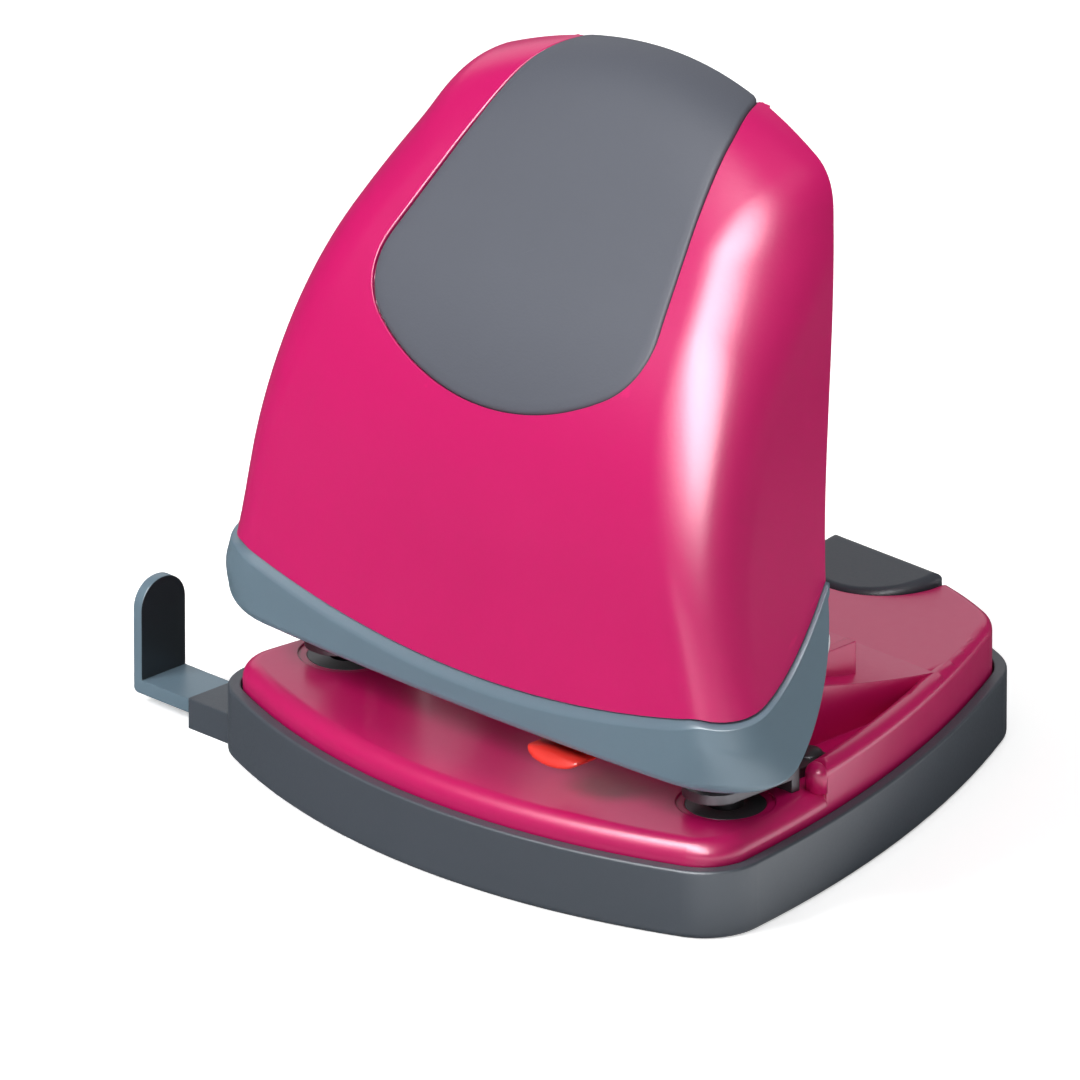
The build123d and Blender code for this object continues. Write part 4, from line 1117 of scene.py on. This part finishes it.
class PUNCH_OT_rivets(bpy.types.Operator):
    """Builds the rivets through the brackets' feet"""

    bl_idname = "punch.rivets"
    bl_label = "Build the rivets"

    def execute(self, context):
        rivets = context.scene.punch_rivets
        # The rivets take the darkened steel, painted shade where they lie in shadow
        mesh = grown_mesh(rivet_tree(), {
            "Width": rivets.width,
            "Depth": rivets.depth,
            "Place": tuple(rivets.place),
            "Head radius": rivets.head_radius,
            "Head height": rivets.head_height,
            "Shank radius": rivets.shank_radius,
            "Grip": rivets.grip,
            "Material": finish_of("bracket"),
        })
        place_piece("rivets", mesh, "bracket_rivets", "steel", "bracket")
        return {"FINISHED"}


# Stage

class PUNCH_OT_stage(bpy.types.Operator):
    """Adds the floor, the studio light and the camera"""

    bl_idname = "punch.stage"
    bl_label = "Set the stage"

    def execute(self, context):
        scene = context.scene
        scene.view_settings.view_transform = "Standard"
        self.add_floor(scene.punch_colours.floor)
        self.add_world()
        for lamp in LAMPS:
            self.add_lamp(*lamp)
        self.add_camera(scene.punch_camera)
        return {"FINISHED"}

    def add_floor(self, colour):
        """A wide pale floor that shows white to the camera and keeps the punch's shadow."""
        mesh = bpy.data.meshes.new("floor")
        signs = ((-1, -1), (1, -1), (1, 1), (-1, 1))
        mesh.from_pydata([(x * FLOOR_HALF, y * FLOOR_HALF, 0) for x, y in signs], [], [(0, 1, 2, 3)])
        floor = new_object("floor", mesh)
        material = bpy.data.materials.new("pale_floor")
        material.use_nodes = True
        material.node_tree.nodes.clear()
        add = node_adder(material.node_tree)
        seen = add("ShaderNodeLightPath").outputs
        glow = add("ShaderNodeEmission", {
            "Strength": reckoned(add, "MULTIPLY", seen["Is Camera Ray"], FLOOR_GLOW),
        })
        paint = add("ShaderNodeBsdfDiffuse", {"Color": (*colour, 1)})
        lit = add("ShaderNodeAddShader", {0: paint.outputs["BSDF"], 1: glow.outputs["Emission"]})
        place = add("ShaderNodeTexCoord").outputs["Object"]
        x = add("ShaderNodeSeparateXYZ", {"Vector": place}).outputs["X"]
        beside, beyond = (mapped(add, x, ends, (0, 1)) for ends in (PATCH_START, PATCH_END))
        patch = reckoned(add, "MULTIPLY", beside, beyond)
        mirrored = add("ShaderNodeEmission", {
            "Strength": mapped(add, patch, (0, 1), (FLOOR_IN_GLOSS, PATCH_IN_GLOSS)),
        })
        either = add("ShaderNodeMixShader", {
            "Fac": seen["Is Glossy Ray"], 1: lit.outputs["Shader"], 2: mirrored.outputs["Emission"],
        })
        add("ShaderNodeOutputMaterial", {"Surface": either.outputs["Shader"]})
        mesh.materials.append(material)

    def add_world(self):
        """Even white surroundings, dimmer in glossy surfaces than to the camera."""
        world = bpy.data.worlds.new("studio")
        bpy.context.scene.world = world
        world.use_nodes = True
        add = node_adder(world.node_tree)
        seen = add("ShaderNodeLightPath").outputs
        plain = reckoned(add, "MULTIPLY_ADD", seen["Is Camera Ray"], 1 - AMBIENT, AMBIENT)
        level = reckoned(add, "MULTIPLY_ADD", seen["Is Glossy Ray"], WORLD_IN_GLOSS - AMBIENT, plain)
        backdrop = world.node_tree.nodes["Background"]
        set_inputs(backdrop, {"Color": (1, 1, 1, 1), "Strength": level})

    def add_lamp(self, name, place, size, roll, power, glossy):
        """A soft lamp of some width and height that faces the punch, for its highlights or for the rest."""
        light = bpy.data.lights.new(name, "AREA")
        light.shape = "ELLIPSE"
        light.size, light.size_y = size
        light.energy = power
        lamp = new_object(name, light)
        lamp.location = place
        lamp.rotation_mode = "QUATERNION"
        aim = (LAMP_AIM - lamp.location).to_track_quat("-Z", "Y")
        lamp.rotation_quaternion = aim @ Quaternion((0, 0, 1), math.radians(roll))
        lamp.visible_diffuse, lamp.visible_glossy = not glossy, glossy

    def add_camera(self, view):
        """A long-lens camera on the reference picture's side."""
        data = bpy.data.cameras.new("camera")
        camera = new_object("camera", data)
        flat = math.cos(view.elevation)
        back = Vector(
            (math.sin(view.azimuth) * flat, -math.cos(view.azimuth) * flat, math.sin(view.elevation))
        )
        camera.location = Vector(view.aim) + back * view.distance
        camera.rotation_mode = "QUATERNION"
        camera.rotation_quaternion = (-back).to_track_quat("-Z", "Y")
        data.lens = data.sensor_width * view.distance / view.frame_width
        data.clip_end = 10 * view.distance
        bpy.context.scene.camera = camera


# Panel and registration

class PUNCH_PT_panel(bpy.types.Panel):
    """Settings and steps of the punch"""

    bl_idname = "PUNCH_PT_panel"
    bl_label = "Desk punch"
    bl_space_type = "VIEW_3D"
    bl_region_type = "UI"
    bl_category = "Punch"

    def draw(self, context):
        column = self.layout.column()
        for holder in GROUPS:
            group = getattr(context.scene, holder)
            for name in group.__annotations__:
                column.prop(group, name)
        for operator in OPERATORS:
            column.operator(operator.bl_idname)


GROUPS = {
    "punch_colours": PunchColours,
    "punch_form": PunchForm,
    "punch_spring": PunchSpring,
    "punch_rivets": PunchRivets,
    "punch_camera": PunchCamera,
}
OPERATORS = (
    PUNCH_OT_finishes,
    PUNCH_OT_hood,
    PUNCH_OT_grip,
    PUNCH_OT_skirt,
    PUNCH_OT_lock,
    PUNCH_OT_rim_ends,
    PUNCH_OT_springs,
    PUNCH_OT_rivets,
    PUNCH_OT_stage,
)


def register():
    for name, group in GROUPS.items():
        bpy.utils.register_class(group)
        setattr(bpy.types.Scene, name, PointerProperty(type=group))
    for operator in OPERATORS:
        bpy.utils.register_class(operator)
    bpy.utils.register_class(PUNCH_PT_panel)


def unregister():
    bpy.utils.unregister_class(PUNCH_PT_panel)
    for operator in reversed(OPERATORS):
        bpy.utils.unregister_class(operator)
    for name, group in reversed(GROUPS.items()):
        delattr(bpy.types.Scene, name)
        bpy.utils.unregister_class(group)


def main():
    register()
    bpy.ops.punch.finishes()
    bpy.ops.punch.hood()
    bpy.ops.punch.grip()
    bpy.ops.punch.skirt()
    bpy.ops.punch.lock()
    bpy.ops.punch.rim_ends()
    bpy.ops.punch.springs()
    bpy.ops.punch.rivets()
    bpy.ops.punch.stage()
    bpy.context.view_layer.update()


if __name__ == "__main__":
    main()
